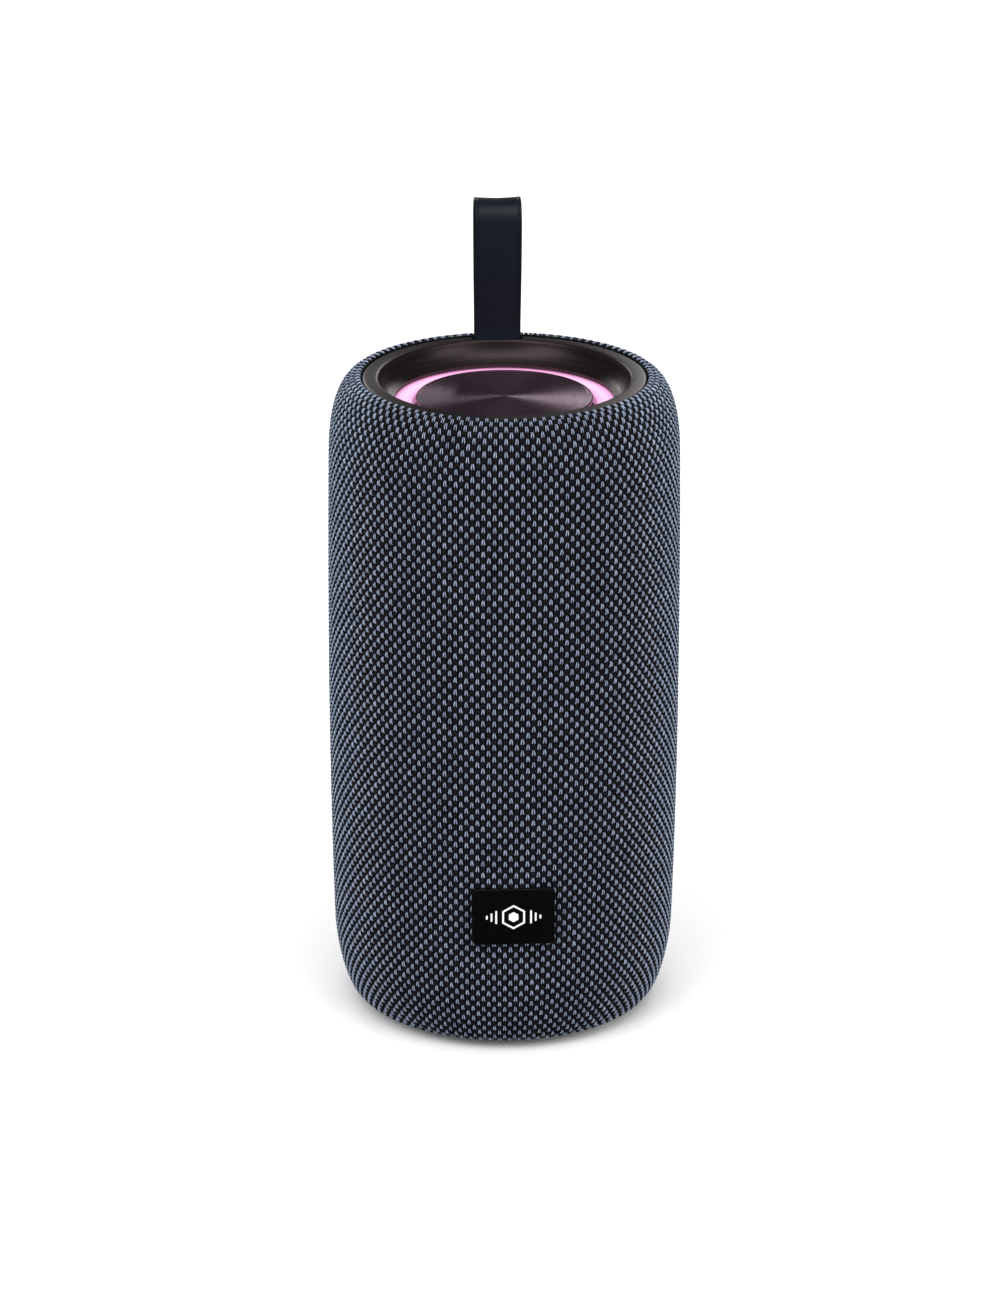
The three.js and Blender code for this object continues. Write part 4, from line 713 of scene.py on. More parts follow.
@dataclass(frozen=True)
class Sleeve:
    """The knitted sleeve: a thin backing and about twenty thousand stitches on it."""

    scatter: Scatter
    openings: list[Opening]
    sizes: KnitSizes = KnitSizes()

    def stitch(self) -> Piece:
        """One stitch, about 0.9 by 1.5 mm: two bent legs that lean together at the top."""
        path = ((0.28, -0.76, -0.24), (0.29, -0.34, 0.08), (0.21, 0.3, 0.17), (0.14, 0.7, -0.12))
        girth = ((0.12, 0.13), (0.16, 0.20), (0.14, 0.21), (0.09, 0.11))
        legs = []
        for side in (-1, 1):
            loops = []
            for (x, y, z), (across, deep) in zip(path, girth):
                ring = ((across, 0), (0, deep), (-across, 0), (0, -deep))
                loops.append([(side * x + a, y, z + d) for a, d in ring])
            legs.append(skinned("leg", loops, LIGHT_YARN))
        return joined("stitch", legs)

    def rows(self) -> list[tuple[float, float, Vector]]:
        """Radius, height and upward direction of each course, evenly spaced along the outline."""
        hem_start = (BARREL.hem + 0.3, BARREL.foot)
        path = [Vector(p) for p in [hem_start, *BARREL.outline(self.sizes.depth, 60)]]
        lengths = [(b - a).length for a, b in zip(path, path[1:])]
        total = sum(lengths)
        count = round(total / self.sizes.course)
        rows = []
        index, passed = 0, 0.0
        for row in range(count):
            target = (row + 0.5) * total / count
            while index < len(lengths) - 1 and passed + lengths[index] < target:
                passed += lengths[index]
                index += 1
            share = (target - passed) / lengths[index]
            here = path[index].lerp(path[index + 1], share)
            rows.append((here.x, here.y, (path[index + 1] - path[index]).normalized()))
        return rows

    def spots(self) -> dict[tuple[int, int], list]:
        """Place, turn and stretch of each stitch, by yarn and sector."""
        groups: dict[tuple[int, int], list] = {}
        for row, (radius, height, up) in enumerate(self.rows()):
            frame_at_zero = Matrix(((0, up.x, up.y), (1, 0, 0), (0, up.y, -up.x)))
            turn = frame_at_zero.to_euler("XYZ")
            pitch = 2 * math.pi * radius / self.sizes.wales
            for wale in range(self.sizes.wales):
                angle = 2 * math.pi * (wale + 0.5) / self.sizes.wales
                x, y = radius * math.cos(angle), radius * math.sin(angle)
                if any(opening.holds(x, y, height, 0.45) for opening in self.openings):
                    continue
                key = ((row + wale) % 2, wale * self.sizes.sectors // self.sizes.wales)
                spot = ((x, y, height), (turn.x, turn.y, turn.z + angle), (pitch / 1.32, 1.0, 1.0))
                groups.setdefault(key, []).append(spot)
        return groups

    def build(self) -> list[Piece]:
        inner = BARREL.outline(1.2)
        section = [(BARREL.hem, 3.2), (BARREL.hem, 2.4), *BARREL.outline(0.55), *reversed(inner)]
        # The backing's near-black colour is painted shade seen in the gaps between the stitches.
        backing = turned("knit_sleeve", section, SHADED_BACKING, 160)
        shaped(backing, [opening.slab.punch() for opening in self.openings if opening.side > 0])
        stitch = self.stitch()
        pieces = []
        for (yarn, sector), spots in sorted(self.spots().items()):
            finish = (LIGHT_YARN, DARK_YARN)[yarn]
            name = f"knit_stitches_{('light', 'dark')[yarn]}_{sector + 1}"
            piece = self.scatter.place(name, stitch, spots, finish, self.sizes.tilt, self.sizes.change)
            pieces.append(settled(piece, "knit_fabric", "housing"))
            log.info("%s: %d stitches", name, len(spots))
        bpy.data.objects.remove(stitch)
        settled(backing, "knit_fabric", "housing", "fabric_sleeve")
        outline = [Vector(p) for p in [(BARREL.hem, BARREL.foot), *BARREL.outline()]]
        log.info("sleeve: backing and %d stitch pieces", len(pieces))
        return [backing, *pieces]


# ---------------------------------------------------------------- top
@dataclass(frozen=True)
class TopSizes:
    """Heights and radii of the lip, the bowl, the light ring and the disc."""

    lip_radius: float = high("top_bezel", X)
    lip_inner: float = 29.4
    lip_top: float = high("top_bezel", Z)
    floor: float = 151.9
    floor_radius: float = 25.75
    ledge: float = 151.05
    skirt: float = 150.0
    wall: float = 1.7
    collar_inner: float = 28.35
    collar_outer: float = 29.95
    collar_bottom: float = low("top_bezel", Z)
    screw_circle: float = 30.65
    boss: float = 1.9
    boss_height: float = 8.0
    screw_hole: float = 1.0
    screw_depth: float = 7.0
    slot_reach: float = 6.0
    slot_half: float = 1.25
    slot_z: Point2 = (140.0, 160.0)
    ring_hole: float = 21.6
    ring_radius: float = high("light_ring", X)
    ring_top: float = high("light_ring", Z)
    ring_bottom: float = 148.75
    rim_inner: float = 26.45
    rim_bottom: float = low("light_ring", Z)
    disc_radius: float = high("radiator_disc", X)
    disc_top: float = high("radiator_disc", Z)
    disc_thickness: float = span("radiator_disc", Z)
    strap_y: float = STRAP_PIVOT[Y]


@dataclass(frozen=True)
class Top:
    """Lip and bowl, light ring and brushed disc."""

    sizes: TopSizes = TopSizes()

    def bowl(self, steps: int = 16) -> list[Point2]:
        """The dished wall from the lip down to the ring."""
        s = self.sizes
        start, end = Vector((s.lip_inner + 0.1, s.lip_top - 0.9)), Vector((s.floor_radius, s.floor))
        control = Vector((s.lip_inner - 0.73, s.floor + 1.0))
        return bend(start, control, end, steps)

    def bezel(self) -> Piece:
        """Lip, bowl, skirt and collar as one moulding, with the strap's slot and the screw bosses."""
        s = self.sizes
        under = s.lip_top - 0.5 - s.wall
        edge = s.lip_inner + 0.1
        outer = [(s.lip_radius, s.skirt, 0), (s.lip_radius, s.lip_top, 0.8)]
        lip = eased([*outer, (edge, s.lip_top, 0.9), (edge, s.skirt, 0)], 6)
        section = [
            *lip[:-1],
            *self.bowl()[1:],
            (s.floor_radius, s.ledge),
            (s.collar_inner, s.ledge),
            (s.collar_inner, s.collar_bottom),
            (s.collar_outer, s.collar_bottom),
            (s.collar_outer, under - s.wall),
            (s.lip_radius - s.wall, under),
            (s.lip_radius - s.wall, s.skirt),
        ]
        bezel = turned("lip_and_bowl", section, LACQUER, 240)
        spots = circle(s.screw_circle, 4, math.pi / 4)
        bosses = [rod(s.boss, x, y, s.collar_bottom, s.collar_bottom + s.boss_height) for x, y in spots]
        shaped(bezel, bosses, "UNION")
        across, deep = (-s.slot_reach, s.slot_reach), (s.strap_y - s.slot_half, s.strap_y + s.slot_half)
        slot = block(across, deep, s.slot_z)
        holes = [rod(s.screw_hole, x, y, s.slot_z[0], s.collar_bottom + s.screw_depth) for x, y in spots]
        shaped(bezel, [slot, *holes])
        return settled(bezel, "bezel_lacquer", "housing", "top_bezel")

    def ring(self) -> Piece:
        """The light ring with its rim."""
        s = self.sizes
        section = eased(
            [
                (s.ring_hole, s.ring_bottom, 0),
                (s.rim_inner, s.ring_bottom, 0),
                (s.rim_inner, s.rim_bottom, 0.2),
                (s.ring_radius, s.rim_bottom, 0.2),
                (s.ring_radius, s.ring_top, 0.2),
                (s.ring_hole, s.ring_top, 0.5),
            ]
        )
        return settled(turned("light_ring_glow", section, DIFFUSER), "diffuser", "housing", "light_ring")

    def disc(self) -> Piece:
        """The brushed disc, with a chamfered edge and a shallow turned step."""
        s = self.sizes
        bottom, top = s.disc_top - s.disc_thickness, s.disc_top
        section = [
            (0.0, bottom),
            (s.disc_radius - 0.2, bottom),
            (s.disc_radius, bottom + 0.2),
            (s.disc_radius, top - 0.25),
            (s.disc_radius - 0.25, top),
            (s.disc_radius - 0.9, top),
            (s.disc_radius - 1.0, top - 0.08),
            (0.0, top - 0.08),
        ]
        return settled(turned("brushed_disc", section, BRUSHED), "brushed_plate", "top_radiator", "radiator_disc")

    def build(self) -> list[Piece]:
        """Makes the three pieces of the top."""
        pieces = [self.bezel(), self.ring(), self.disc()]
        log.info("top: %s", ", ".join(p.name for p in pieces))
        return pieces


# ---------------------------------------------------------------- strap
@dataclass(frozen=True)
class StrapSizes:
    """A folded strap: both ends go down one slot, and it opens into a drop-shaped loop."""

    width: float = span("strap_loop", X)
    skin: float = 1.1
    bulge: float = high("strap_loop", Y) - STRAP_PIVOT[Y]
    top: float = high("strap_loop", Z) - STRAP_PIVOT[Z]
    axis_y: float = STRAP_PIVOT[Y]
    axis_z: float = STRAP_PIVOT[Z]
    root: float = 148.1
    foot_top: float = 149.6
    foot_width: float = 14.2
    bead: float = 0.14
    sag: float = 0.45
    bend_below: float = 1.6
    bend_above: float = 4.0


@dataclass(frozen=True)
class Strap:
    """The wrist strap."""

    sizes: StrapSizes = StrapSizes()

    def path(self) -> list[Point2]:
        """The strap's middle line in Y and Z about the hinge axis, from root to root."""
        s = self.sizes
        half = s.skin / 2 + 0.02
        wide = s.bulge - s.skin / 2
        crown = s.top - s.bulge
        root = s.root - s.axis_z
        rise = [(half, root), (half, s.foot_top - s.axis_z - 0.02), (half, s.foot_top - s.axis_z + 0.3)]
        rise += [(half, (s.foot_top - s.axis_z) * (1 - i / 6)) for i in range(1, 6)]
        a, b, c, d = ((half, 0.0), (half, crown / 4), (wide, crown * 0.45), (wide, crown))
        for t in sweep(0, 1, 36):
            k = ((1 - t) ** 3, 3 * t * (1 - t) ** 2, 3 * t**2 * (1 - t), t**3)
            rise.append(tuple(sum(w * p[j] for w, p in zip(k, (a, b, c, d))) for j in (0, 1)))
        arc = sweep(0, math.pi / 2, 14)[1:]
        rise += [(wide * math.cos(t), crown + wide * math.sin(t)) for t in arc]
        return rise + [(-y, z) for y, z in reversed(rise[:-1])]

    def section(self, width: float) -> list[Point2]:
        """(across, out) points round the strap's section, with a bead inside each edge."""
        s = self.sizes
        half = width / 2
        face = [(-half, 0.0), (-half + 0.06, 0.3), (-half + 0.25, 0.47)]
        face += [(-half + 0.55, 0.47), (-half + 0.75, 0.47 + s.bead), (-half + 0.95, 0.47)]
        face += [(-half + 1.4, 0.5)]
        outer = face + [(x, 0.55) for x in (-half / 2, 0.0, half / 2)] + [(-x, n) for x, n in reversed(face)]
        inner = [(half - 0.06, -0.3), (half - 0.3, -0.5), (0.0, -0.55), (-half + 0.3, -0.5), (-half + 0.06, -0.3)]
        return outer + inner

    def build(self) -> list[Piece]:
        """Sweeps the section along the middle line, placed about the hinge at the lip."""
        s = self.sizes
        path = self.path()
        loops = []
        for i, (y, z) in enumerate(path):
            before, after = Vector(path[max(i - 1, 0)]), Vector(path[min(i + 1, len(path) - 1)])
            along = (after - before).normalized()
            out = Vector((along.y, -along.x))
            crown = max(0.0, min(1.0, (z - (s.top - s.bulge - 4)) / (s.bulge + 4)))
            width = s.foot_width if z < s.foot_top - s.axis_z else s.width
            loop = []
            for x, n in self.section(width):
                n -= s.sag * crown * (1 - (x / (width / 2)) ** 2) * (1 if n > -0.6 else 0)
                loop.append((x, s.axis_y + y + out.x * n, s.axis_z + z + out.y * n))
            loops.append(loop)
        strap = skinned("wrist_strap", loops, STRAP_SKIN)
        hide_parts("strap_loop", "strap_root")
        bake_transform(strap)
        log.info("strap: %d faces", len(strap.data.polygons))
        return [strap]


# ---------------------------------------------------------------- badge
@dataclass(frozen=True)
class BadgeSizes:
    """The badge on the front, with a plain mark of a hexagon between bars."""

    slab: Slab = Slab(span("badge_plate", X), span("badge_plate", Z), 1.3, middle("badge_plate", Z))
    front: float = low("badge_plate", Y)
    thickness: float = 1.3
    ease: float = 0.3
    print_depth: float = 0.04
    hexagon: float = 3.1
    core: float = 1.3
    bar: float = 0.42


@dataclass(frozen=True)
class Badge:
    """The badge plate and its printed mark."""

    sizes: BadgeSizes

    def hexagon(self, radius: float, y: float) -> list[Point3]:
        """A hexagon about the badge's middle."""
        return [(x, y, z) for x, z in circle(radius, 6, math.pi / 6, 0, self.sizes.slab.z)]

    def mark(self) -> Piece:
        """A hexagon outline round a small one, flanked by three bars a side."""
        s = self.sizes
        y0, y1 = s.front + 0.02, s.front - s.print_depth
        outer, inner = s.hexagon, s.hexagon - 0.5
        edges = ((outer, y0), (outer, y1), (inner, y1), (inner, y0))
        rings = [self.hexagon(radius, y) for radius, y in edges]
        core = [self.hexagon(s.core, y0), self.hexagon(s.core, y1)]
        pieces = [skinned("mark", rings, PRINT_WHITE, closed=True), skinned("mark", core, PRINT_WHITE)]
        for side in (-1, 1):
            for i, height in enumerate((3.4, 2.2, 1.0)):
                slab = Slab(s.bar, height, s.bar / 2 - 0.01, s.slab.z, side * (4.1 + 1.1 * i))
                pieces.append(slab.solid("mark", [(y0, 0), (y1, 0)], PRINT_WHITE))
        return joined("badge_mark", pieces)

    def build(self) -> list[Piece]:
        """Makes the plate and the mark."""
        s = self.sizes
        back = s.front + s.thickness
        plate = s.slab.solid("badge", edged(back, s.front, s.ease, 3), BADGE_BLACK)
        settled(plate, "badge_black", "housing", "badge_plate")
        log.info("badge: plate and mark")
        return [plate, settled(self.mark(), "badge_black", "housing")]


# ---------------------------------------------------------------- controls
class Symbol(Enum):
    """What is moulded on each button, from the top down, and the button's name."""

    POWER = "power"
    PLUS = "volume_up"
    PLAY = "play"
    MINUS = "volume_down"
    LIGHT = "light"


@dataclass(frozen=True)
class PanelSizes:
    """The control panel in the rear of the barrel."""

    slab: Slab = Slab(span("control_panel", X), span("control_panel", Z), 5.0, middle("control_panel", Z))
    face: float = high("control_panel", Y)
    back: float = low("control_panel", Y)
    ease: float = 0.5
    gap: float = 0.3
    button_width: float = 11.0
    button_height: float = 6.6
    button_corner: float = 3.2
    button_face: float = high("power_button", Y)
    stem: float = 1.2
    stem_y: Point2 = (36.0, 38.0)
    button_top: float = middle("power_button", Z)
    button_pitch: float = (middle("power_button", Z) - middle("light_button", Z)) / 4
    flap: Slab = Slab(span("port_flap", X), span("port_flap", Z), 0.5, middle("port_flap", Z))
    flap_thickness: float = span("port_flap", Y)


STROKE = 0.32  # width of a symbol's lines
RAY = 0.34
# A symbol's arc: height of its centre above the button's middle, radius, first and last angle.
ARCS = {Symbol.POWER: (-0.1, 1.2, -230, 50), Symbol.LIGHT: (0.0, 0.7, 0, 350)}
# A symbol's bars: place across and up from the button's middle, width, height.
BARS = {
    Symbol.POWER: [(0, 0.95, STROKE, 1.3)],
    Symbol.PLUS: [(0, 0, 2.6, STROKE), (0, 0.82, STROKE, 0.9), (0, -0.82, STROKE, 0.9)],
    Symbol.MINUS: [(0, 0, 2.6, STROKE)],
    Symbol.PLAY: [(-0.8, 0, 0.36, 2.2), (-1.5, 0, 0.36, 2.2)],
    Symbol.LIGHT: [(x, z, RAY, RAY) for x, z in ((1.5, 0), (-1.5, 0), (0, 1.5), (0, -1.5))]
    + [(x, z, RAY, RAY) for x in (-1.06, 1.06) for z in (-1.06, 1.06)],
}


@dataclass(frozen=True)
class Controls:
    """Panel, five buttons and the flap over the ports."""

    sizes: PanelSizes

    def key(self, index: int) -> Slab:
        """A button's outline, counted from the top."""
        s = self.sizes
        return Slab(s.button_width, s.button_height, s.button_corner, s.button_top - index * s.button_pitch)

    def panel(self) -> Piece:
        """The panel with a rounded edge, a hole for each button and a bay for the flap."""
        s = self.sizes
        panel = s.slab.solid("rear_panel", edged(s.back, s.face, s.ease), SILICONE)
        holes = [self.key(i) for i in range(len(Symbol))] + [s.flap]
        shaped(panel, [hole.grown(s.gap).punch() for hole in holes])
        return settled(panel, "panel_silicone", "housing", "control_panel")

    def bar(self, x: float, z: float, width: float, height: float, y: Point2) -> Piece:
        """A raised bar of a symbol."""
        corner = min(width, height) / 2 - 0.01
        return Slab(width, height, corner, z, x).solid("sign", [(y[0], 0), (y[1], 0)], PRINT_WHITE)

    def arc(self, z: float, radius: float, start: float, end: float, y: Point2) -> Piece:
        """A raised arc of a symbol, start and end in degrees."""
        inner, outer = radius - STROKE / 2, radius + STROKE / 2
        ring = ((inner, y[0]), (outer, y[0]), (outer, y[1]), (inner, y[1]))
        angles = [math.radians(a) for a in sweep(start, end, 24)]
        loops = [[(r * math.cos(a), depth, z + r * math.sin(a)) for r, depth in ring] for a in angles]
        return skinned("sign", loops, PRINT_WHITE)

    def sign(self, symbol: Symbol, z: float) -> Piece:
        """A button's raised symbol."""
        y = (self.sizes.button_face - 0.03, self.sizes.button_face + 0.07)
        pieces = []
        if symbol in ARCS:
            lift, radius, start, end = ARCS[symbol]
            pieces.append(self.arc(z + lift, radius, start, end, y))
        elif symbol is Symbol.PLAY:
            corners = [(1.6, z - 1.1), (-0.2, z), (1.6, z + 1.1)]
            pieces.append(skinned("sign", [[(cx, depth, cz) for cx, cz in corners] for depth in y], PRINT_WHITE))
        pieces += [self.bar(dx, z + dz, width, height, y) for dx, dz, width, height in BARS[symbol]]
        return joined("sign", pieces)

    def button(self, index: int, symbol: Symbol) -> list[Piece]:
        """A button's domed cap with its flange, and its symbol."""
        s, name, key = self.sizes, symbol.value, self.key(index)
        flange_back, flange_front, reach = s.back - 1.3, s.back - 0.3, -1.0
        layers = [(flange_back, reach), (flange_front, reach), (flange_front, 0.0)]
        layers += edged(s.back, s.button_face, 0.6)[1:]
        cap = key.solid(f"{name}_key_cap", layers, SILICONE)
        stem = block((-s.stem, s.stem), s.stem_y, (key.z - s.stem, key.z + s.stem))
        shaped(cap, [stem], "UNION")
        sign = self.sign(symbol, key.z)
        sign.name = f"{name}_sign"
        settled(cap, "panel_silicone", f"{name}_key", f"{name}_button")
        return [cap, settled(sign, "panel_silicone", f"{name}_key")]

    def flap(self) -> Piece:
        """The flap: a thin lid, round along its hinge, with a finger scoop on the free edge."""
        s = self.sizes
        half = s.flap_thickness / 2
        centre = s.face - half
        left, right = -s.flap.width / 2 + half, s.flap.width / 2
        arc = sweep(math.pi / 2, 3 * math.pi / 2, 10)
        outline = [(left + half * math.cos(a), centre + half * math.sin(a)) for a in arc]
        outline += [(right - 0.3, centre - half), (right, centre - half + 0.3)]
        outline += [(right, centre + half - 0.3), (right - 0.3, centre + half)]
        foot, head = s.flap.z - s.flap.height / 2, s.flap.z + s.flap.height / 2
        inset = [(x * 0.995, centre + (y - centre) * 0.75) for x, y in outline]
        layers = ((inset, foot), (outline, foot + 0.25), (outline, head - 0.25), (inset, head))
        loops = [[(x, y, z) for x, y in shape] for shape, z in layers]
        flap = skinned("port_cover", loops, SILICONE)
        scoop = Slab(3.0, 9.0, 1.4, s.flap.z, right - 1.2)
        shaped(flap, [scoop.solid("tool", [(s.face - 0.5, 0.4), (s.face + 1, 0)], PLASTIC)])
        return settled(flap, "panel_silicone", "flap", "port_flap")

    def build(self) -> list[Piece]:
        """Makes the panel, the flap and the buttons."""
        pieces = [self.panel(), self.flap()]
        for index, symbol in enumerate(Symbol):
            pieces += self.button(index, symbol)
        log.info("controls: %d pieces", len(pieces))
        return pieces


# ---------------------------------------------------------------- base
@dataclass(frozen=True)
class BaseSizes:
    """Base cap, foot ring, screws and the radiator that shows through the opening."""

    opening: float = 21.65
    cap_radius: float = high("base_cap", X)
    cap_bottom: float = low("base_cap", Z)
    cap_top: float = high("base_cap", Z)
    foot_inner: float = 23.35
    foot_outer: float = high("foot_ring", X)
    foot_top: float = high("foot_ring", Z)
    screw_circle: float = 30.65
    screw_seat: float = 3.8
    screw_hole: float = 1.2
    hole_top: float = 8.0
    head: float = 2.0
    piston_radius: float = high("bottom_radiator_piston", Y)
    piston_low: float = 9.3
    piston_high: float = 10.9
    roll_outer: float = high("bottom_radiator_surround", Y)
    roll_middle: float = 10.1
    roll_height: float = 1.8


@dataclass(frozen=True)
class Base:
    """What shows under the speaker."""

    scatter: Scatter
    sizes: BaseSizes = BaseSizes()

    def corners(self) -> list[Point2]:
        """Where the four screws are."""
        return circle(self.sizes.screw_circle, 4, math.pi / 4)

    def cap(self) -> Piece:
        """The base cap with the foot's groove and the screws' recesses."""
        s = self.sizes
        groove = s.foot_top + 0.3
        section = eased(
            [
                (s.opening, s.cap_bottom, 0.5),
                (s.foot_inner - 0.3, s.cap_bottom, 0.2),
                (s.foot_inner - 0.3, groove, 0),
                (s.foot_outer + 0.3, groove, 0),
                (s.foot_outer + 0.3, s.cap_bottom, 0.2),
                (s.cap_radius, s.cap_bottom, 0.6),
                (s.cap_radius, s.cap_top, 0.2),
                (s.opening, s.cap_top, 0.2),
            ]
        )
        cap = turned("base_cover", section, PLASTIC)
        corners = self.corners()
        tools = [rod(s.head + 0.3, x, y, 0, s.screw_seat) for x, y in corners]
        tools += [rod(s.screw_hole, x, y, s.screw_seat - 0.3, s.hole_top) for x, y in corners]
        shaped(cap, tools)
        return settled(cap, "shell_plastic", "housing", "base_cap")

    def foot(self) -> Piece:
        """The rubber ring, with two grooves in its tread."""
        s = self.sizes
        third = (s.foot_outer - s.foot_inner) / 3
        tread: list[tuple[float, float, float]] = [(s.foot_inner, 0.0, 0.5)]
        for i in (1, 2):
            x = s.foot_inner + third * i
            tread += [(x - 0.25, 0.0, 0.1), (x - 0.15, 0.5, 0.1), (x + 0.15, 0.5, 0.1), (x + 0.25, 0.0, 0.1)]
        tread += [(s.foot_outer, 0.0, 0.5), (s.foot_outer, s.foot_top, 0.1), (s.foot_inner, s.foot_top, 0.1)]
        return settled(turned("rubber_foot", eased(tread, 3), RUBBER), "rubber", "housing", "foot_ring")

    def screws(self) -> Piece:
        """Four pan-head screws, each with a cross recess, copied by Geometry Nodes."""
        s = self.sizes
        dome = [(s.head * math.cos(a), -0.7 - 0.8 * math.sin(a)) for a in sweep(0, math.pi / 2, 5)]
        dome[-1] = (0.0, dome[-1][1])
        section = [(0.0, 7.7), (0.55, 7.0), (0.93, 6.2), (0.93, 0.0), (s.head, 0.0), *dome]
        screw = turned("screw", section, STEEL, 40)
        wing, blade = s.head * 0.6, s.head * 0.15
        cross = [block((-wing, wing), (-blade, blade), (-3, -0.7)), block((-blade, blade), (-wing, wing), (-3, -0.7))]
        shaped(screw, cross)
        spots = [((x, y, s.screw_seat), (0, 0, 0.4 + i), (1, 1, 1)) for i, (x, y) in enumerate(self.corners())]
        screws = self.scatter.place("base_screws", screw, spots, STEEL)
        bpy.data.objects.remove(screw)
        smoothed(screws)
        return settled(screws, "steel", "housing", *[f"base_screw_{i}" for i in range(1, 5)])

    def piston(self) -> Piece:
        """The radiator's plate, with a turned ring on its face."""
        s = self.sizes
        sunk = s.piston_low + 0.3
        ring = [(9.0, sunk), (9.4, s.piston_low), (10.6, s.piston_low), (11.0, sunk)]
        rim = [(16.6, sunk), (17.0, s.piston_low)]
        corners = [(0.0, s.piston_high, 0), (0.0, sunk, 0), *((radius, z, 0.1) for radius, z in ring + rim)]
        corners += [(s.piston_radius, s.piston_low, 0.3), (s.piston_radius, s.piston_high, 0.1)]
        piston = turned("bottom_radiator_plate", eased(corners, 2), PLASTIC)
        return settled(piston, "shell_plastic", "bottom_radiator", "bottom_radiator_piston")

    def roll(self) -> Piece:
        """The rubber half roll round the radiator's plate."""
        s = self.sizes
        inner, outer, skin = s.piston_radius + 0.3, s.roll_outer, 0.4
        centre, reach = (inner + outer) / 2, (outer - inner) / 2 - 0.5
        under, over = s.roll_middle - skin, s.roll_middle + skin
        angles = sweep(math.pi, 0, 16)
        below = [(centre + reach * math.cos(a), under - s.roll_height * math.sin(a)) for a in angles]
        above = [(centre + (reach - skin) * math.cos(a), over - s.roll_height * math.sin(a)) for a in reversed(angles)]
        section = [(inner, over), (inner, under), *below, (outer, under), (outer, over), *above]
        roll = turned("bottom_radiator_roll", section, RUBBER)
        return settled(roll, "rubber", "housing", "bottom_radiator_surround")

    def build(self) -> list[Piece]:
        """Makes the base's five pieces."""
        pieces = [self.cap(), self.foot(), self.screws(), self.roll(), self.piston()]
        log.info("base: %d pieces", len(pieces))
        return pieces


# ---------------------------------------------------------------- pieces that stay as the CAD has them
CAD_NAMES: list[tuple[Finish, str]] = [
    (
        PLASTIC,
        "front_shell rear_shell strap_clamp top_radiator_frame top_radiator_piston "
        "bottom_radiator_frame driver_frame battery_cradle",
    ),
    (STEEL, "bezel_screw strap_clamp_screw driver_top_plate driver_yoke driver_screw usb_socket card_slot"),
    (BOARD, "lamp_board main_board button_board"),
    (RUBBER, "top_radiator_surround driver_gasket driver_surround"),
    (PAPER, "driver_cone driver_dust_cap driver_spider"),
    (COPPER, "driver_voice_coil"),
    (FERRITE, "driver_magnet"),
    (WRAP, "battery_cell"),
    (WIRE, "battery_lead driver_lead"),
    (SOCKET, "aux_socket"),
]
CAD_FINISHES = {name: finish for finish, names in CAD_NAMES for name in names.split()}


def dress_cad() -> None:
    """Gives every CAD node its finish, by the longest name that starts the node's."""
    for name, node in frame["nodes"].items():
        stems = [stem for stem in CAD_FINISHES if name.startswith(stem)]
        if not stems:
            continue
        node.data.materials.clear()
        node.data.materials.append(CAD_FINISHES[max(stems, key=len)].material())


# ---------------------------------------------------------------- studio
@dataclass(frozen=True)
class CameraSizes:
    """The photo's camera, fitted to the outline of the speaker, and where the lights aim."""

    distance: float = 1008.0
    azimuth: float = -3.3
    elevation: float = 21.38
    lens: float = 116.0
    aim: Point3 = (0.0, 0.0, 79.75)
    lift: float = 0.4526
    pan: float = 0.052
    roll: float = 0.14
    light_aim: Point3 = (0.0, 0.0, 90.0)


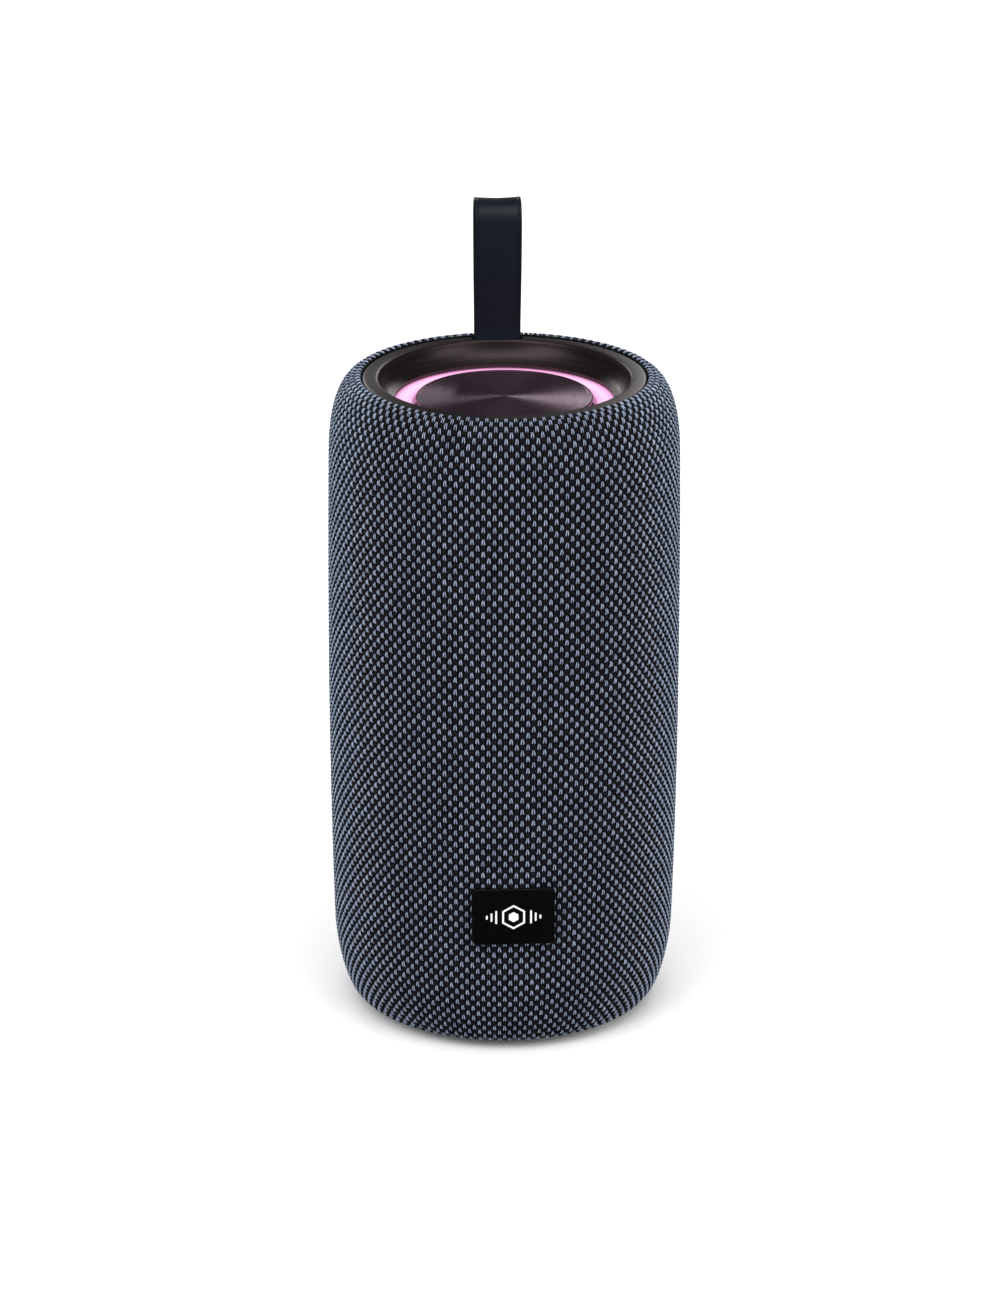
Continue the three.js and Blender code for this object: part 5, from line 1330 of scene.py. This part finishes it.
@dataclass(frozen=True)
class Studio:
    """Camera, lights and floor."""

    sizes: CameraSizes = CameraSizes()

    def camera(self) -> None:
        """Stands the camera where the photo was taken from."""
        c = self.sizes
        a, e = math.radians(c.azimuth), math.radians(c.elevation)
        back = Vector((math.sin(a) * math.cos(e), -math.cos(a) * math.cos(e), math.sin(e)))
        data = bpy.data.cameras.new("camera")
        data.lens = c.lens
        data.clip_start, data.clip_end = 0.05, 20
        obj = linked("camera", data)
        obj.rotation_mode = "QUATERNION"
        obj.location = (Vector(c.aim) + back * c.distance) * MM
        nudge = Euler([math.radians(v) for v in (c.lift, c.pan, c.roll)]).to_quaternion()
        obj.rotation_quaternion = (-back).to_track_quat("-Z", "Y") @ nudge
        bpy.context.scene.camera = obj

    def light(self, name: str, place: Point3, size: Point2, power: float) -> Piece:
        """A soft rectangular light aimed at the speaker; place and size in mm, power in watts."""
        data = bpy.data.lights.new(name, "AREA")
        data.shape = "RECTANGLE"
        data.size, data.size_y = size[0] * MM, size[1] * MM
        data.energy = power
        obj = linked(name, data)
        obj.location = Vector(place) * MM
        obj.rotation_mode = "QUATERNION"
        obj.rotation_quaternion = (Vector(self.sizes.light_aim) - Vector(place)).to_track_quat("-Z", "Y")
        return obj

    def floor(self) -> Piece:
        """A pale sweep: a floor that curves up into a backdrop."""
        front, rear, curve, top, width, thickness = -3000.0, 1500.0, 900.0, 3500.0, 4000.0, 20.0
        arc = sweep(0, math.pi / 2, 8)[1:]
        profile = [(front, 0.0), (rear, 0.0)]
        profile += [(rear + curve * math.sin(a), curve - curve * math.cos(a)) for a in arc]
        profile += [(rear + curve, top)]
        loops = []
        for y, z in profile:
            back, under = y + thickness * (z > 0), z - thickness
            loops.append([(-width, y, z), (width, y, z), (width, back, under), (-width, back, under)])
        finish = Finish("Pale seamless paper", "#fcfcfc", "#ffffff", 0.9, grain=0.6, relief=0.002)
        floor = skinned("studio_floor", loops, finish)
        floor.visible_glossy = False
        return floor

    def build(self) -> None:
        """Sets up the whole studio."""
        self.camera()
        rear = [self.light(f"rear_{i}", (x, 1000, 510), (260, 260), 1.3) for i, x in enumerate((-300, 300))]
        for light in rear:
            light.data.diffuse_factor = 0.1
        self.floor()
        self.light("key", (-900, -900, 1100), (900, 900), 7.5)
        self.light("fill", (1000, -900, 800), (900, 900), 6)
        self.light("top", (0, -450, 1200), (1000, 500), 5)
        world = bpy.data.worlds.new("studio")
        world.use_nodes = True
        background = world.node_tree.nodes["Background"]
        background.inputs["Color"].default_value = linear("#ffffff")
        background.inputs["Strength"].default_value = 0.8
        bpy.context.scene.world = world
        world.cycles_visibility.glossy = False
        bpy.context.scene.view_settings.view_transform = "Standard"
        log.info("studio: camera, floor and five lights")


def main() -> None:
    """Builds every sub-assembly over the frame."""
    logging.basicConfig(level=logging.INFO, format="%(name)s: %(message)s")
    scatter = Scatter("Scatter")
    badge, panel = BadgeSizes(), PanelSizes()
    seat = Slab(badge.slab.width - 1.6, badge.slab.height - 1.6, 0.6, badge.slab.z)
    Sleeve(scatter, [Opening(panel.slab.grown(0.3), 1), Opening(seat, -1)]).build()
    Top().build()
    Strap().build()
    Badge(badge).build()
    Controls(panel).build()
    Base(scatter).build()
    dress_cad()
    Studio().build()


if __name__ == "__main__":
    main()
